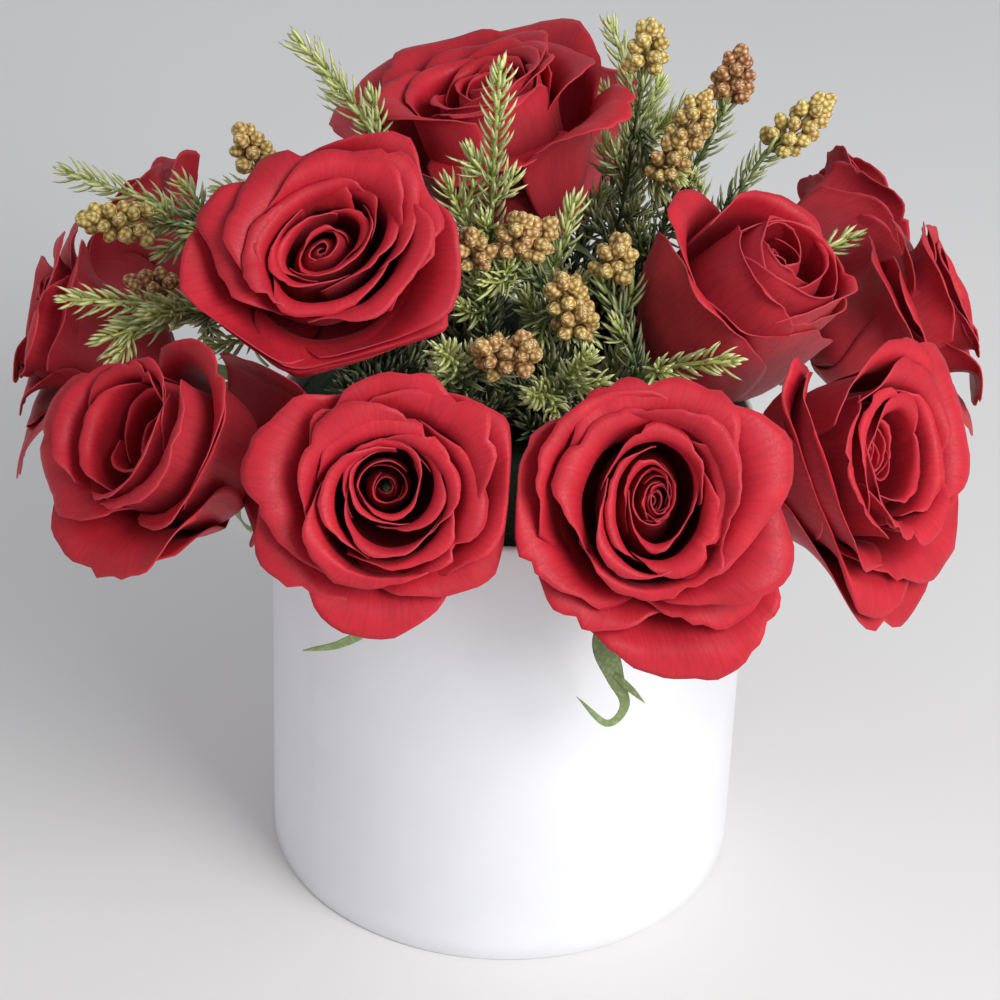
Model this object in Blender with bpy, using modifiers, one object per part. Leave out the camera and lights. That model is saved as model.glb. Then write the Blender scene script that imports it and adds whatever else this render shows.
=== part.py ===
# Flower hat box: a round paper-covered cardboard box, lined and filled with floral foam,
# that holds a dozen red roses and conifer sprigs with small pollen cones.
# The origin is the centre of the face the box rests on, +Z is up and the front is -Y.
# Lengths are in millimetres here and are scaled to metres as each mesh is made.

import math
import random

import bmesh
import bpy
from mathutils import Vector, noise
from mathutils.bvhtree import BVHTree

for old in list(bpy.data.objects):
    bpy.data.objects.remove(old)

MM = 0.001

# Driving dimensions of the box
BOX_RADIUS = 75.0
BOX_HEIGHT = 155.0
WALL = 2.5
RIM_EDGE = 0.8
BASE_THICKNESS = 3.0
FIT = 0.3
LINER_THICKNESS = 0.6
LINER_TOP = 146.0
FOAM_SHOULDER = 149.0
FOAM_TOP = 166.0
FOAM_TOP_RADIUS = 54.0
ROUND_SIDES = 44

# Driving dimensions of the flowers
BODY_HEIGHT = 27.0
PETAL_THICKNESS = 0.7
PETAL_SHARE = 0.62
OUTER_PETALS = 5
MIDDLE_PETALS = (0.66, 0.56)
HEART_RINGS = (0.16, 0.40)
HEART_RIM = 3.2
HEART_GROOVE = 5.0
HEART_SIDES = 8
ROOT_DEPTH = 34.0
ROSE_STEM_RADIUS = 2.5
CALYX_RADIUS = 5.2
CALYX_LENGTH = 9.0
HIP_GAP = 0.4
HIP_RIM = 3.6
HIP_SHOULDER = 2.4
HIP_FOOT = 2.8
SEPAL_THICKNESS = 0.8
HIP_SIDES = 10
SEPAL_REACHES = (17.0, 13.0, 9.0)
SEPAL_DROOP = 0.25
SEPAL_ROOM = 1.6
SEPAL_WIDTH = 5.5

# Driving dimensions of the conifer sprigs and their cones
SPRIG_STEM_RADIUS = 1.2
NEEDLE_LENGTH = 9.5
NEEDLE_RADIUS = 0.6
CONE_RADIUS = 2.4
CONE_LENGTH = 3.1
CONES_EACH = 5
SPRIG_ROOT = 22.0
NEEDLE_STEP = 13.0
NEEDLE_ROOM = 0.9
STALK_RADIUS = 1.4
CONE_GAP = 0.5
STRAIGHT = 4.0
STEM_SPANS = 5
SHOOT_SPANS = 3

GOLDEN_ANGLE = 137.5
ROOM = 0.45
FLAT_ANGLE = 2.5
IMAGE_UP = Vector((-0.037, 0.538, 0.842))

parts = bpy.data.collections.new("flower_hat_box")
cutters = bpy.data.collections.new("cutters")
for group in (parts, cutters):
    bpy.context.scene.collection.children.link(group)


# Finishes and meshes

def finish(name, colour, roughness):
    material = bpy.data.materials.new(name)
    material.use_nodes = True
    shader = material.node_tree.nodes["Principled BSDF"]
    shader.inputs["Base Color"].default_value = (*colour, 1.0)
    shader.inputs["Roughness"].default_value = roughness
    shader.inputs["Metallic"].default_value = 0.0
    return material


def evaluated_mesh(piece):
    bpy.context.view_layer.update()
    depsgraph = bpy.context.evaluated_depsgraph_get()
    return bpy.data.meshes.new_from_object(piece.evaluated_get(depsgraph))


def mesh_of(bm, name):
    mesh = bpy.data.meshes.new(name)
    bm.to_mesh(mesh)
    bm.free()
    return mesh


def add_object(name, mesh, group):
    piece = bpy.data.objects.new(name, mesh)
    group.objects.link(piece)
    return piece


def add_part(name, mesh, material):
    mesh.materials.clear()
    mesh.materials.append(material)
    mesh.shade_smooth()
    mesh.set_sharp_from_angle(angle=math.radians(40))
    return add_object(name, mesh, parts)


def turned(name, profile, sides, group):
    """A profile of (radius, height) points turned round Z, its outer side running down."""
    bm = bmesh.new()
    verts = [bm.verts.new((radius * MM, 0.0, height * MM)) for radius, height in profile]
    for start, end in zip(verts, verts[1:]):
        bm.edges.new((start, end))
    if profile[0][0] > 0.0:
        bm.edges.new((verts[-1], verts[0]))
    piece = add_object(name, mesh_of(bm, name), group)
    screw = piece.modifiers.new("turn", "SCREW")
    screw.steps = sides
    screw.render_steps = sides
    screw.use_merge_vertices = True
    screw.merge_threshold = 0.00001
    return piece


def tube(name, points, radius, roundness, group, tip=1.0):
    """A solid tube along points, thinning to tip times its radius at the far end."""
    curve = bpy.data.curves.new(name, "CURVE")
    curve.dimensions = "3D"
    curve.bevel_depth = radius * MM
    curve.bevel_resolution = roundness
    curve.use_fill_caps = True
    spline = curve.splines.new("POLY")
    spline.points.add(len(points) - 1)
    for index, (point, place) in enumerate(zip(spline.points, points)):
        point.co = (*(place * MM), 1.0)
        point.radius = 1.0 + (tip - 1.0) * index / (len(points) - 1)
    source = add_object(name, curve, group)
    bm = bmesh.new()
    bm.from_mesh(evaluated_mesh(source))
    bmesh.ops.remove_doubles(bm, verts=bm.verts, dist=0.00001)
    bpy.data.objects.remove(source)
    return add_object(name, mesh_of(bm, name), group)


def largest_body(mesh):
    """Keeps the biggest shell: loose scraps go, and hollows that a union sealed are filled."""
    bm = bmesh.new()
    bm.from_mesh(mesh)
    bmesh.ops.dissolve_limit(bm, angle_limit=math.radians(FLAT_ANGLE), verts=bm.verts, edges=bm.edges)
    bmesh.ops.triangulate(bm, faces=bm.faces)
    bmesh.ops.dissolve_degenerate(bm, edges=bm.edges, dist=0.000001)
    left = set(bm.verts)
    shells = []
    while left:
        shell = {left.pop()}
        front = list(shell)
        while front:
            vert = front.pop()
            for edge in vert.link_edges:
                other = edge.other_vert(vert)
                if other not in shell:
                    shell.add(other)
                    front.append(other)
        left -= shell
        shells.append(shell)
    keep = max(shells, key=len)
    bmesh.ops.delete(bm, geom=[vert for vert in bm.verts if vert not in keep], context="VERTS")
    bm.to_mesh(mesh)
    bm.free()
    return mesh


def new_pieces(name):
    pieces = bpy.data.collections.new(name)
    cutters.children.link(pieces)
    return pieces


def joined(name, core, pieces, material, solver="MANIFOLD"):
    """One body: the core and every piece in the collection, by one Boolean union."""
    union = core.modifiers.new("join", "BOOLEAN")
    union.operation = "UNION"
    union.operand_type = "COLLECTION"
    union.collection = pieces
    union.solver = solver
    mesh = largest_body(evaluated_mesh(core))
    mesh.name = name
    for piece in list(pieces.objects):
        bpy.data.objects.remove(piece)
    bpy.data.collections.remove(pieces)
    bpy.data.objects.remove(core)
    return add_part(name, mesh, material)


# Room between the solids: a search tree for each one that is finished

solids = {}


def remember(piece):
    mesh = evaluated_mesh(piece)
    corners = [vert.co / MM for vert in mesh.vertices]
    faces = [tuple(face.vertices) for face in mesh.polygons]
    solids[piece.name] = BVHTree.FromPolygons(corners, faces)
    bpy.data.meshes.remove(mesh)


def is_clear(points, room, apart_from=()):
    for name, tree in solids.items():
        if name in apart_from:
            continue
        if any(tree.find_nearest(point, room)[0] is not None for point in points):
            return False
    return True


def stations(path, step):
    points = []
    for start, end in zip(path, path[1:]):
        count = max(1, math.ceil((end - start).length / step))
        points += [start.lerp(end, index / count) for index in range(count)]
    return points + [path[-1]]


def curve_points(ends, count):
    """Points along a cubic curve through its four control points."""
    start, pull_start, pull_end, end = ends
    points = []
    for index in range(count + 1):
        t = index / count
        m = 1.0 - t
        points.append(start * m ** 3 + pull_start * 3 * m * m * t + pull_end * 3 * m * t * t + end * t ** 3)
    return points


# The box: a rolled cardboard wall with a glued-in base, a waterproof liner and floral foam

INNER_RADIUS = BOX_RADIUS - WALL
LINER_RADIUS = INNER_RADIUS - FIT
LINER_FLOOR = BASE_THICKNESS + FIT
FOAM_RADIUS = LINER_RADIUS - LINER_THICKNESS - FIT
FOAM_FLOOR = LINER_FLOOR + LINER_THICKNESS + FIT


def make_box():
    wall = turned("box_wall", (
        (BOX_RADIUS - RIM_EDGE, BOX_HEIGHT), (BOX_RADIUS, BOX_HEIGHT - RIM_EDGE), (BOX_RADIUS, 0.0),
        (INNER_RADIUS, 0.0), (INNER_RADIUS, BOX_HEIGHT - RIM_EDGE), (INNER_RADIUS + RIM_EDGE, BOX_HEIGHT)),
        ROUND_SIDES, parts)
    wall.data.materials.append(finish("white_paper", (0.86, 0.86, 0.87), 0.45))
    base_radius = INNER_RADIUS - FIT
    base = turned("box_base", (
        (0.0, BASE_THICKNESS), (base_radius, BASE_THICKNESS), (base_radius, 0.0), (0.0, 0.0)),
        ROUND_SIDES, parts)
    base.data.materials.append(finish("grey_board", (0.52, 0.50, 0.47), 0.8))
    inside = LINER_RADIUS - LINER_THICKNESS
    liner = turned("liner", (
        (0.0, LINER_FLOOR + LINER_THICKNESS), (inside, LINER_FLOOR + LINER_THICKNESS),
        (inside, LINER_TOP), (LINER_RADIUS, LINER_TOP), (LINER_RADIUS, LINER_FLOOR), (0.0, LINER_FLOOR)),
        ROUND_SIDES, parts)
    liner.data.materials.append(finish("liner_film", (0.20, 0.22, 0.20), 0.3))
    for piece in (wall, base, liner):
        remember(piece)


def make_foam():
    foam = turned("flower_foam", (
        (0.0, FOAM_TOP), (FOAM_TOP_RADIUS, FOAM_TOP), (FOAM_RADIUS, FOAM_SHOULDER),
        (FOAM_RADIUS, FOAM_FLOOR), (0.0, FOAM_FLOOR)), ROUND_SIDES, parts)
    foam.data.materials.append(finish("green_foam", (0.06, 0.17, 0.08), 0.95))
    return foam


def foam_height(place):
    slope = (math.hypot(place.x, place.y) - FOAM_TOP_RADIUS) / (FOAM_RADIUS - FOAM_TOP_RADIUS)
    return FOAM_TOP + min(1.0, max(0.0, slope)) * (FOAM_SHOULDER - FOAM_TOP)


# Rose forms. Each list gives (place in the bloom, value), from the innermost petal at 0
# to the outermost at 1; radius is a share of the rose's size and height of its tallness.

OPEN = {
    "radius": ((0, .02), (.15, .13), (.45, .40), (.7, .68), (.86, .92), (1, 1.04)),
    "height": ((0, .84), (.15, .93), (.45, 1.0), (.7, .98), (.86, .88), (1, .70)),
    "lean": ((0, -40), (.15, -15), (.4, 15), (.65, 45), (.85, 88), (1, 122)),
    "wrap": ((0, 160), (.2, 120), (.45, 86), (.7, 60), (1, 46)),
    "belly": ((0, 15), (.5, 55), (1, 76)),
    "band": ((0, .25), (.4, .18), (.7, .26), (1, .42)),
    "fall": ((0, .16), (.5, .16), (.75, .22), (1, .30)),
}
DEEP = {
    **OPEN,
    "radius": ((0, .02), (.12, .12), (.3, .27), (.5, .50), (.7, .72), (.86, .92), (1, 1.04)),
    "height": ((0, .66), (.15, .74), (.3, .82), (.5, .96), (.7, .98), (.86, .86), (1, .66)),
}
CUP = {
    **OPEN,
    "radius": ((0, .02), (.15, .15), (.3, .30), (.5, .55), (.7, .74), (.86, .88), (1, 1.04)),
    "height": ((0, .60), (.15, .70), (.3, .82), (.5, .98), (.7, 1.0), (.86, .90), (1, .66)),
    "lean": ((0, -40), (.2, -25), (.45, -5), (.7, 20), (.86, 80), (1, 118)),
}
BUD = {
    **OPEN,
    "radius": ((0, .02), (.15, .12), (.45, .34), (.7, .58), (.86, .80), (1, 1.0)),
    "height": ((0, .90), (.15, .96), (.45, 1.0), (.7, .99), (.86, .93), (1, .80)),
    "lean": ((0, -45), (.2, -35), (.45, -20), (.7, 5), (.86, 45), (1, 105)),
    "wrap": ((0, 160), (.2, 120), (.45, 95), (.7, 75), (1, 56)),
}
TALL = {
    **OPEN,
    "radius": ((0, .02), (.15, .10), (.45, .30), (.7, .50), (.82, .66), (.9, .92), (1, 1.04)),
    "height": ((0, .90), (.15, .96), (.45, 1.0), (.7, .99), (.82, .96), (.9, .92), (1, .82)),
    "lean": ((0, -40), (.2, -25), (.45, -5), (.7, 25), (.82, 60), (.9, 100), (1, 125)),
}

# Each rose: the foot of its bloom, the way it faces, its form, half its width, its height,
# its number of petals and its named outer petals, each an (angle, reach, rise).
ROSES = {
    "front_left": (
        (-36.5, -68, 170), (.03, -.84, .54), OPEN, 40, 53, 30,
        ((205, 1.04, 0), (318, .98, .04), (90, .96, .06), (20, 1, 0), (258, 1.1, -.04), (165, 1.04, -.02))),
    "front_right": (
        (36.5, -67, 168), (.03, -.84, .54), DEEP, 45, 54, 32,
        ((35, 1.03, .02), (120, 1.02, .02), (200, 1.14, -.03), (335, 1.08, -.04), (275, 1.2, -.06),
         (235, 1.1, -.1))),
    "left_front": (
        (-77.5, -59.5, 167), (-.639, -.459, .595), CUP, 36, 53, 20,
        ((60, 1, 0), (150, 1.04, 0), (330, 1, -.02), (200, 1.1, -.05), (255, 1.34, -.12))),
    "right_front": (
        (73.5, -43.5, 166.5), (.78, -.45, .43), DEEP, 44, 54, 30,
        ((90, 1, .02), (160, .98, 0), (20, 1.02, 0), (300, 1.08, -.04), (235, 1.1, -.04),
         (270, 1.12, -.08))),
    "upper_left": (
        (-58, -15, 206), (.023, -.734, .678), OPEN, 40, 54, 32,
        ((70, 1.12, .02), (330, 1.02, .02), (148, 1.06, 0), (20, 1.1, -.04), (205, 1.14, -.04),
         (278, 1.2, -.04))),
    "upper_right": (
        (45.5, -11, 181), (.444, -.195, .875), BUD, 37, 60, 22,
        ((60, 1, 0), (300, 1, 0), (180, 1.06, -.03), (250, 1.06, -.04))),
    "top_back": (
        (3, 37, 197), (-.275, .017, .955), TALL, 50, 55, 26,
        ((90, 1, .04), (10, .98, 0), (150, 1.08, 0), (60, 1, .04), (325, .9, -.06), (215, .8, -.1))),
    "right_side": ((89, 19, 165), (.966, -.107, .236), OPEN, 38, 53, 26, ()),
    "left_side": ((-101, -6, 167), (-.95, .05, .26), OPEN, 36, 50, 26, ()),
    "back_right": ((74, 57, 168), (.72, .58, .38), OPEN, 37, 50, 26, ()),
    "back_left": ((-83, 47, 167), (-.8, .5, .3), OPEN, 37, 52, 26, ()),
    "back": ((5, 95, 166), (0, .85, .52), OPEN, 38, 52, 26, ()),
}


def smooth(low, high, value):
    t = max(0.0, min(1.0, (value - low) / (high - low)))
    return t * t * (3.0 - 2.0 * t)


def keyed(place, keys):
    """The value at a place along (place, value) keys."""
    for (start, low), (end, high) in zip(keys, keys[1:]):
        if place <= end:
            return low + (high - low) * (place - start) / (end - start)
    return keys[-1][1]


def rose_petal(name, index):
    """The measures of one petal: where its rim stands, how it leans, wraps, rolls and waves."""
    form, size, tall, count, outer = ROSES[name][2:]
    draw = random.Random(f"{name}{index}")
    place = index / (count - 1)
    turn = random.Random(name).uniform(0.0, 360.0) + index * GOLDEN_ANGLE + draw.uniform(-7.0, 7.0)
    reach = 1.0 + draw.uniform(-0.03, 0.03) * place
    rise = draw.uniform(-0.012, 0.012)
    named = index - (count - len(outer))
    if named >= 0:
        turn, reach, lift = outer[named]
        rise += lift
    radius = keyed(place, form["radius"]) * size
    wrap = math.radians(keyed(place, form["wrap"]))
    return {
        "place": place,
        "turn": math.radians(turn),
        "rim": (radius * reach, (keyed(place, form["height"]) + rise) * tall),
        "lean": math.radians(keyed(place, form["lean"]) + draw.uniform(-7.0, 7.0) * place),
        "half": min(size * 0.8, wrap * max(radius, 1.5)),
        "foot": (1.0 + 2.0 * place, 6.0 - 3.0 * place),
        "belly": math.radians(keyed(place, form["belly"])),
        "rise": tall * keyed(place, ((0, .3), (.5, .46), (1, .56))),
        "band": tall * keyed(place, form["band"]),
        "fall": keyed(place, form["fall"]) + draw.uniform(-0.03, 0.03),
        "point": keyed(place, ((0, 2.6), (.5, 2.3), (.75, 1.6), (1, 1.35))) + draw.uniform(-0.12, 0.2),
        "lip": keyed(place, ((0, .25), (.4, .9), (.8, 2.0), (1, 2.2))),
        "roll": keyed(place, ((0, .0), (.35, .25), (.6, .6), (1, 1.0))) * draw.uniform(0.6, 1.2),
        "wave": keyed(place, ((0, .3), (.5, .9), (1, 2.0))),
        "swirl": keyed(place, ((0, .5), (.3, 1.0), (.6, 1.0), (1, .5))),
        "seed": draw.uniform(0.0, 100.0),
    }


def petal_line(petal, t):
    """Radius and height on the petal's middle line, and the way its back faces there."""
    foot, rim = petal["foot"], petal["rim"]
    belly, lean = petal["belly"], petal["lean"]
    ends = (foot,
            (foot[0] + petal["rise"] * math.sin(belly), foot[1] + petal["rise"] * math.cos(belly)),
            (rim[0] - petal["band"] * math.sin(lean), rim[1] - petal["band"] * math.cos(lean)),
            rim)
    m = 1.0 - t
    weights = (m ** 3, 3 * m * m * t, 3 * m * t * t, t ** 3)
    radius, height = (sum(w * end[axis] for w, end in zip(weights, ends)) for axis in (0, 1))
    slopes = (3 * m * m, 6 * m * t, 3 * t * t)
    out, up = (sum(w * (b[axis] - a[axis]) for w, a, b in zip(slopes, ends, ends[1:])) for axis in (0, 1))
    length = math.hypot(out, up)
    return radius, height, up / length, -out / length


def petal_point(petal, u, v):
    """A point of the petal, u from -1 to 1 across it and v from 0 at its foot to 1 at its rim."""
    place, seed = petal["place"], petal["seed"]
    broad = noise.noise(Vector((u * 2.4 + seed, 0.0, seed)))
    fine = noise.noise(Vector((u * 7.0 + seed, 5.0, seed)))
    rim = 1.0 - petal["fall"] * abs(u) ** petal["point"] + (0.035 * broad + 0.012 * fine) * (0.4 + place)
    t = v * rim
    radius, height, back_out, back_up = petal_line(petal, min(t, 1.02))
    half = petal["half"] * (0.12 + 0.88 * math.sin(min(1.0, t / 0.7) * math.pi / 2) ** 0.9)
    side = abs(u * half)
    away = 0.0
    # The side margins roll back
    grown = smooth(0.35, 0.9, v)
    flat = half * (1.0 - 0.34 * grown)
    roll_radius = 5.5
    bend = min((side - flat) / roll_radius, 2.2) * petal["roll"] * grown
    if bend > 0.0001:
        away = roll_radius * (1.0 - math.cos(bend))
        side = flat + (side - flat) * math.sin(bend) / bend
    # The rim curls into a lip
    curl = smooth(0.8, 1.0, v) ** 1.4
    away += petal["lip"] * curl * 0.75
    radius_out = radius + back_out * away + petal["swirl"] * u * smooth(0.1, 0.6, v)
    height += back_up * away - petal["lip"] * curl * 0.35 * (1.0 - 0.5 * abs(math.sin(petal["lean"])))
    # Soft waves
    wave = petal["wave"] * v ** 2.2
    first = noise.noise(Vector((u * 1.7 + seed, v * 1.4, 3.1)))
    second = noise.noise(Vector((u * 3.9 + seed, v * 2.2, 9.1)))
    third = noise.noise(Vector((u * 2.0, v * 1.3 + seed, 7.7)))
    radius_out += wave * (first + 0.35 * second) * abs(back_out) + wave * 0.4 * first
    height += wave * (third + 0.35 * second) * (0.3 + abs(back_up))
    angle = petal["turn"] + math.copysign(min(2.9, side / max(radius, 1.4)), u)
    return Vector((radius_out * math.cos(angle), radius_out * math.sin(angle), height))


def rose_axes(name):
    """The foot of the bloom and its own right, up and facing directions."""
    facing = Vector(ROSES[name][1]).normalized()
    upward = (IMAGE_UP - facing * IMAGE_UP.dot(facing)).normalized()
    return Vector(ROSES[name][0]), upward.cross(facing), upward, facing


def rose_bounds(name):
    """Planes that a bloom stays behind: one towards each neighbour, the rim and the foam."""
    foot, _, _, facing = rose_axes(name)
    middle = foot + facing * BODY_HEIGHT
    size = ROSES[name][3]
    planes = []
    for other in ROSES:
        if other != name:
            other_foot, _, _, other_facing = rose_axes(other)
            towards = other_foot + other_facing * BODY_HEIGHT - middle
            share = size / (size + ROSES[other][3])
            planes.append((middle + towards * share, towards.normalized()))
    outward = Vector((foot.x, foot.y, 0.0))
    if outward.length > FOAM_RADIUS:
        outward.normalize()
        planes.append((outward * (BOX_RADIUS - 2.0) + Vector((0, 0, BOX_HEIGHT + 2.5)),
                       (-outward - Vector((0, 0, 1))).normalized()))
    else:
        planes.append((Vector((0, 0, FOAM_TOP + 2.0)), Vector((0, 0, -1))))
    return planes


def pressed(place, planes):
    """Blooms press on each other: what comes near a plane is squeezed back behind it."""
    soft, gap = 9.0, 0.6
    for point, towards in planes:
        over = (place - point).dot(towards) + gap + soft
        if over > 0.0:
            place = place - towards * (over - soft * (1.0 - math.exp(-over / soft)))
    for _ in range(4):
        for point, towards in planes:
            over = (place - point).dot(towards) + gap
            if over > 0.0:
                place = place - towards * over
    return place


def petal_object(name, index, across, up, pieces):
    foot, right, upward, facing = rose_axes(name)
    planes = rose_bounds(name)
    petal = rose_petal(name, index)
    bm = bmesh.new()
    bmesh.ops.create_grid(bm, x_segments=across, y_segments=up, size=1.0)
    for vert in bm.verts:
        x, y, z = petal_point(petal, vert.co.x * PETAL_SHARE, (vert.co.y + 1.0) / 2.0)
        vert.co = pressed(foot + right * x + upward * y + facing * z, planes) * MM
    bmesh.ops.triangulate(bm, faces=bm.faces)
    piece = add_object(f"petal_{name}_{index}", mesh_of(bm, "petal"), pieces)
    shell = piece.modifiers.new("thickness", "SOLIDIFY")
    shell.thickness = PETAL_THICKNESS * MM
    shell.offset = 0.0
    return piece


def make_bloom(name, material):
    """A turned heart with rings of inner rims, and the larger petals round it."""
    form, size, tall, count, outer = ROSES[name][2:]
    foot, right, upward, facing = rose_axes(name)
    planes = rose_bounds(name)
    profile = [(0.0, keyed(0.0, form["height"]) * tall)]
    for place in HEART_RINGS:
        ring, rim = keyed(place, form["radius"]) * size, keyed(place, form["height"]) * tall
        profile += [(ring - HEART_RIM, rim - HEART_GROOVE), (ring, rim)]
    profile += [(ring * 0.97, tall * 0.6), (14.0, 14.0), (9.0, 4.0), (4.0, 0.3), (0.0, 0.0)]
    heart = turned("heart", profile, HEART_SIDES, cutters)
    bm = bmesh.new()
    bm.from_mesh(evaluated_mesh(heart))
    bpy.data.objects.remove(heart)
    for vert in bm.verts:
        x, y, z = vert.co / MM
        vert.co = pressed(foot + right * x + upward * y + facing * z, planes) * MM
    core = add_object("core", mesh_of(bm, "core"), cutters)
    pieces = new_pieces("petals")
    outermost = count - 1
    across = 3 if len(outer) > 4 else 2
    for step in range(OUTER_PETALS):
        petal_object(name, outermost - step, across, 3, pieces)
    for place in MIDDLE_PETALS:
        petal_object(name, round(place * outermost), across, 2, pieces)
    return joined(f"bloom_{name}", core, pieces, material)


# Rose stems: each comes out of the foam, bends to its bloom and ends in a hip with sepals

# Long sepals that hang below two of the front blooms, as lists of places along each
HANGING_SEPALS = {
    "front_right": (
        (33, -86, 150), (27, -94, 137), (31, -96, 127), (36, -97, 117), (30, -98, 111), (21, -98, 121)),
    "front_left": ((-37, -84, 151), (-40, -92, 139), (-48, -94, 133), (-59, -94, 130)),
}


def stem_ends(name):
    """Where a rose's stem ends deep in the foam, leaves it, and meets the hip."""
    foot, _, _, facing = rose_axes(name)
    reach = math.hypot(foot.x, foot.y)
    outward = Vector((foot.x, foot.y, 0.0)) / reach
    if reach > FOAM_RADIUS:
        entry = outward * 60.0
        slant = (outward * 0.6 + Vector((0, 0, 0.8))).normalized()
    else:
        entry = outward * min(45.0, reach * 0.6)
        slant = (outward * 0.2 + Vector((0, 0, 1.0))).normalized()
    entry.z = foam_height(entry)
    return entry - slant * ROOT_DEPTH, entry + slant * 3.0, foot - facing * (0.6 * CALYX_LENGTH)


def blade(name, path, flat, width, thickness, pieces):
    """A narrow leaf along a path: widest at a third of its length, with a fine tip."""
    bm = bmesh.new()
    rows = len(path) - 1
    bmesh.ops.create_grid(bm, x_segments=1, y_segments=rows, size=1.0)
    for vert in bm.verts:
        row = round((vert.co.y + 1.0) / 2.0 * rows)
        along = path[min(row + 1, rows)] - path[max(row - 1, 0)]
        side = along.cross(flat).normalized()
        half = width / 2 * max(0.12, math.sin(math.pi * (0.15 + 0.83 * row / rows)))
        vert.co = (path[row] + side * half * vert.co.x) * MM
    bmesh.ops.triangulate(bm, faces=bm.faces)
    piece = add_object(name, mesh_of(bm, name), pieces)
    shell = piece.modifiers.new("thickness", "SOLIDIFY")
    shell.thickness = thickness * MM
    shell.offset = 0.0
    return piece


def sepal_tip(foot, outward, facing, planes):
    """Where a sepal that leaves the hip sideways and droops can end, clear of what is there."""
    for reach in SEPAL_REACHES:
        tip = pressed(foot + outward * reach - facing * (HIP_SHOULDER + reach * SEPAL_DROOP), planes)
        if is_clear([tip], SEPAL_ROOM):
            return tip
    return foot + outward * CALYX_RADIUS - facing * HIP_SHOULDER


def make_stem(name, material):
    deep, leaving, end = stem_ends(name)
    foot, right, upward, facing = rose_axes(name)
    slant = (leaving - deep).normalized()
    reach = (end - leaving).length * 0.4
    path = [deep] + curve_points((leaving, leaving + slant * reach, end - facing * reach, end), 3)
    core = tube("stem", path, ROSE_STEM_RADIUS, 1, cutters)
    pieces = new_pieces("hip")
    hip = turned("hip", (
        (0.0, -HIP_GAP), (HIP_RIM, -HIP_GAP), (CALYX_RADIUS, -HIP_SHOULDER), (HIP_FOOT, -CALYX_LENGTH),
        (0.0, -CALYX_LENGTH)), HIP_SIDES, cutters)
    bm = bmesh.new()
    bm.from_mesh(evaluated_mesh(hip))
    bpy.data.objects.remove(hip)
    planes = rose_bounds(name)
    for vert in bm.verts:
        x, y, z = vert.co / MM
        outward = (right * x + upward * y).normalized()
        corner = round(math.degrees(math.atan2(y, x)) * HIP_SIDES / 360.0)
        if abs(z + HIP_SHOULDER) < 0.01 and corner % 2 == 0:
            vert.co = sepal_tip(foot, outward, facing, planes) * MM
        else:
            vert.co = (foot + right * x + upward * y + facing * z) * MM
    add_object("hip", mesh_of(bm, "hip"), pieces)
    if name in HANGING_SEPALS:
        middle = [foot - facing * 3.0] + [Vector(place) for place in HANGING_SEPALS[name]]
        blade("hanging_sepal", middle, Vector((0, -1, 0.2)), SEPAL_WIDTH, SEPAL_THICKNESS, pieces)
    return joined(f"stem_{name}", core, pieces, material), deep, leaving


# Conifer sprigs. Each sprig: where it leaves the foam, the middle of its stem, its tip, and
# its side shoots as (share of the way up, tip). A tip that is a name is that cluster of cones.

SPRIGS = {
    "far_left": ((-40, 14), (-98, 20, 205), (-143, 30, 222), ((0.62, "far_left"),)),
    "left": (
        (-44, -20), (-98, -28, 203), (-133, -35, 210), ((0.7, (-122, -40, 200)), (0.6, "left"))),
    "left_back": ((-32, 20), (-60, 22, 212), (-93, 20, 219), ((0.6, "left_back"),)),
    "upper_left": ((-22, 12), (-39, 10, 240), (-69, 25, 267), ()),
    "centre_tall": (
        (-8, -14), (-10, -25, 230), (-8, -22, 284), ((0.5, (-23, -20, 246)), (0.35, "centre_tall"))),
    "back_dark": ((34, 46), (40, 70, 215), (25, 80, 251), ()),
    "back_gold": ((26, 24), (34, 24, 215), "back_gold", ((0.6, "middle_gold"),)),
    "right_back": ((36, 28), (48, 24, 225), "right_back", ()),
    "right": ((44, 16), (62, 18, 228), "right", ()),
    "centre_right": (
        (8, -22), (8, -24, 210), (15, -12, 237), ((0.6, "centre_right"), (0.7, "centre_high"))),
    "centre_left": ((-14, -34), (-16, -52, 200), (-22, -72, 219), ((0.6, "centre_low"),)),
    "centre_front": ((10, -38), (14, -50, 195), (20, -66, 216), ((0.55, (4, -70, 204)),)),
    "front_right": ((24, -30), (30, -44, 198), (61, -62, 213), ((0.6, "front_right"),)),
    "right_tip": ((50, 4), (84, 22, 198), (103, 35, 203), ()),
    "back_middle": ((-6, 48), (-16, 72, 205), (-22, 84, 236), ((0.6, (-34, 78, 222)),)),
    "back_left": ((-30, 44), (-48, 62, 205), (-62, 76, 230), ((0.65, (-50, 86, 218)),)),
    "back_right": ((24, 52), (34, 72, 205), (42, 88, 228), ((0.65, (52, 78, 226)),)),
}

# Clusters of pollen cones: where each one's stalk starts, and where it ends
CONES = {
    "far_left": ((-117, 8, 212), (-132, 3, 216)),
    "left": ((-101, -15, 200), (-108, -16, 210)),
    "left_back": ((-79, 15, 229), (-84, 15, 242)),
    "centre_tall": ((-13, -30, 222), (-14, -33, 234)),
    "centre_high": ((-3, -27, 226), (-1, -30, 239)),
    "back_gold": ((35, 40, 254), (36, 41, 270)),
    "middle_gold": ((42, 20, 229), (46, 18, 242)),
    "right_back": ((60, 34, 248), (63, 36, 264)),
    "right": ((77, 28, 238), (90, 32, 250)),
    "centre_right": ((15, -40, 212), (17, -45, 226)),
    "centre_low": ((-3, -58, 208), (-3, -66, 220)),
    "front_right": ((25, -30, 222), (28, -31, 236)),
}
SHIFTS = [Vector((x, y, z)) for z in (0, 6, 12, -6) for x in (0, -5, 5) for y in (0, -5, 5)]
cone_starts = {}


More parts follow.
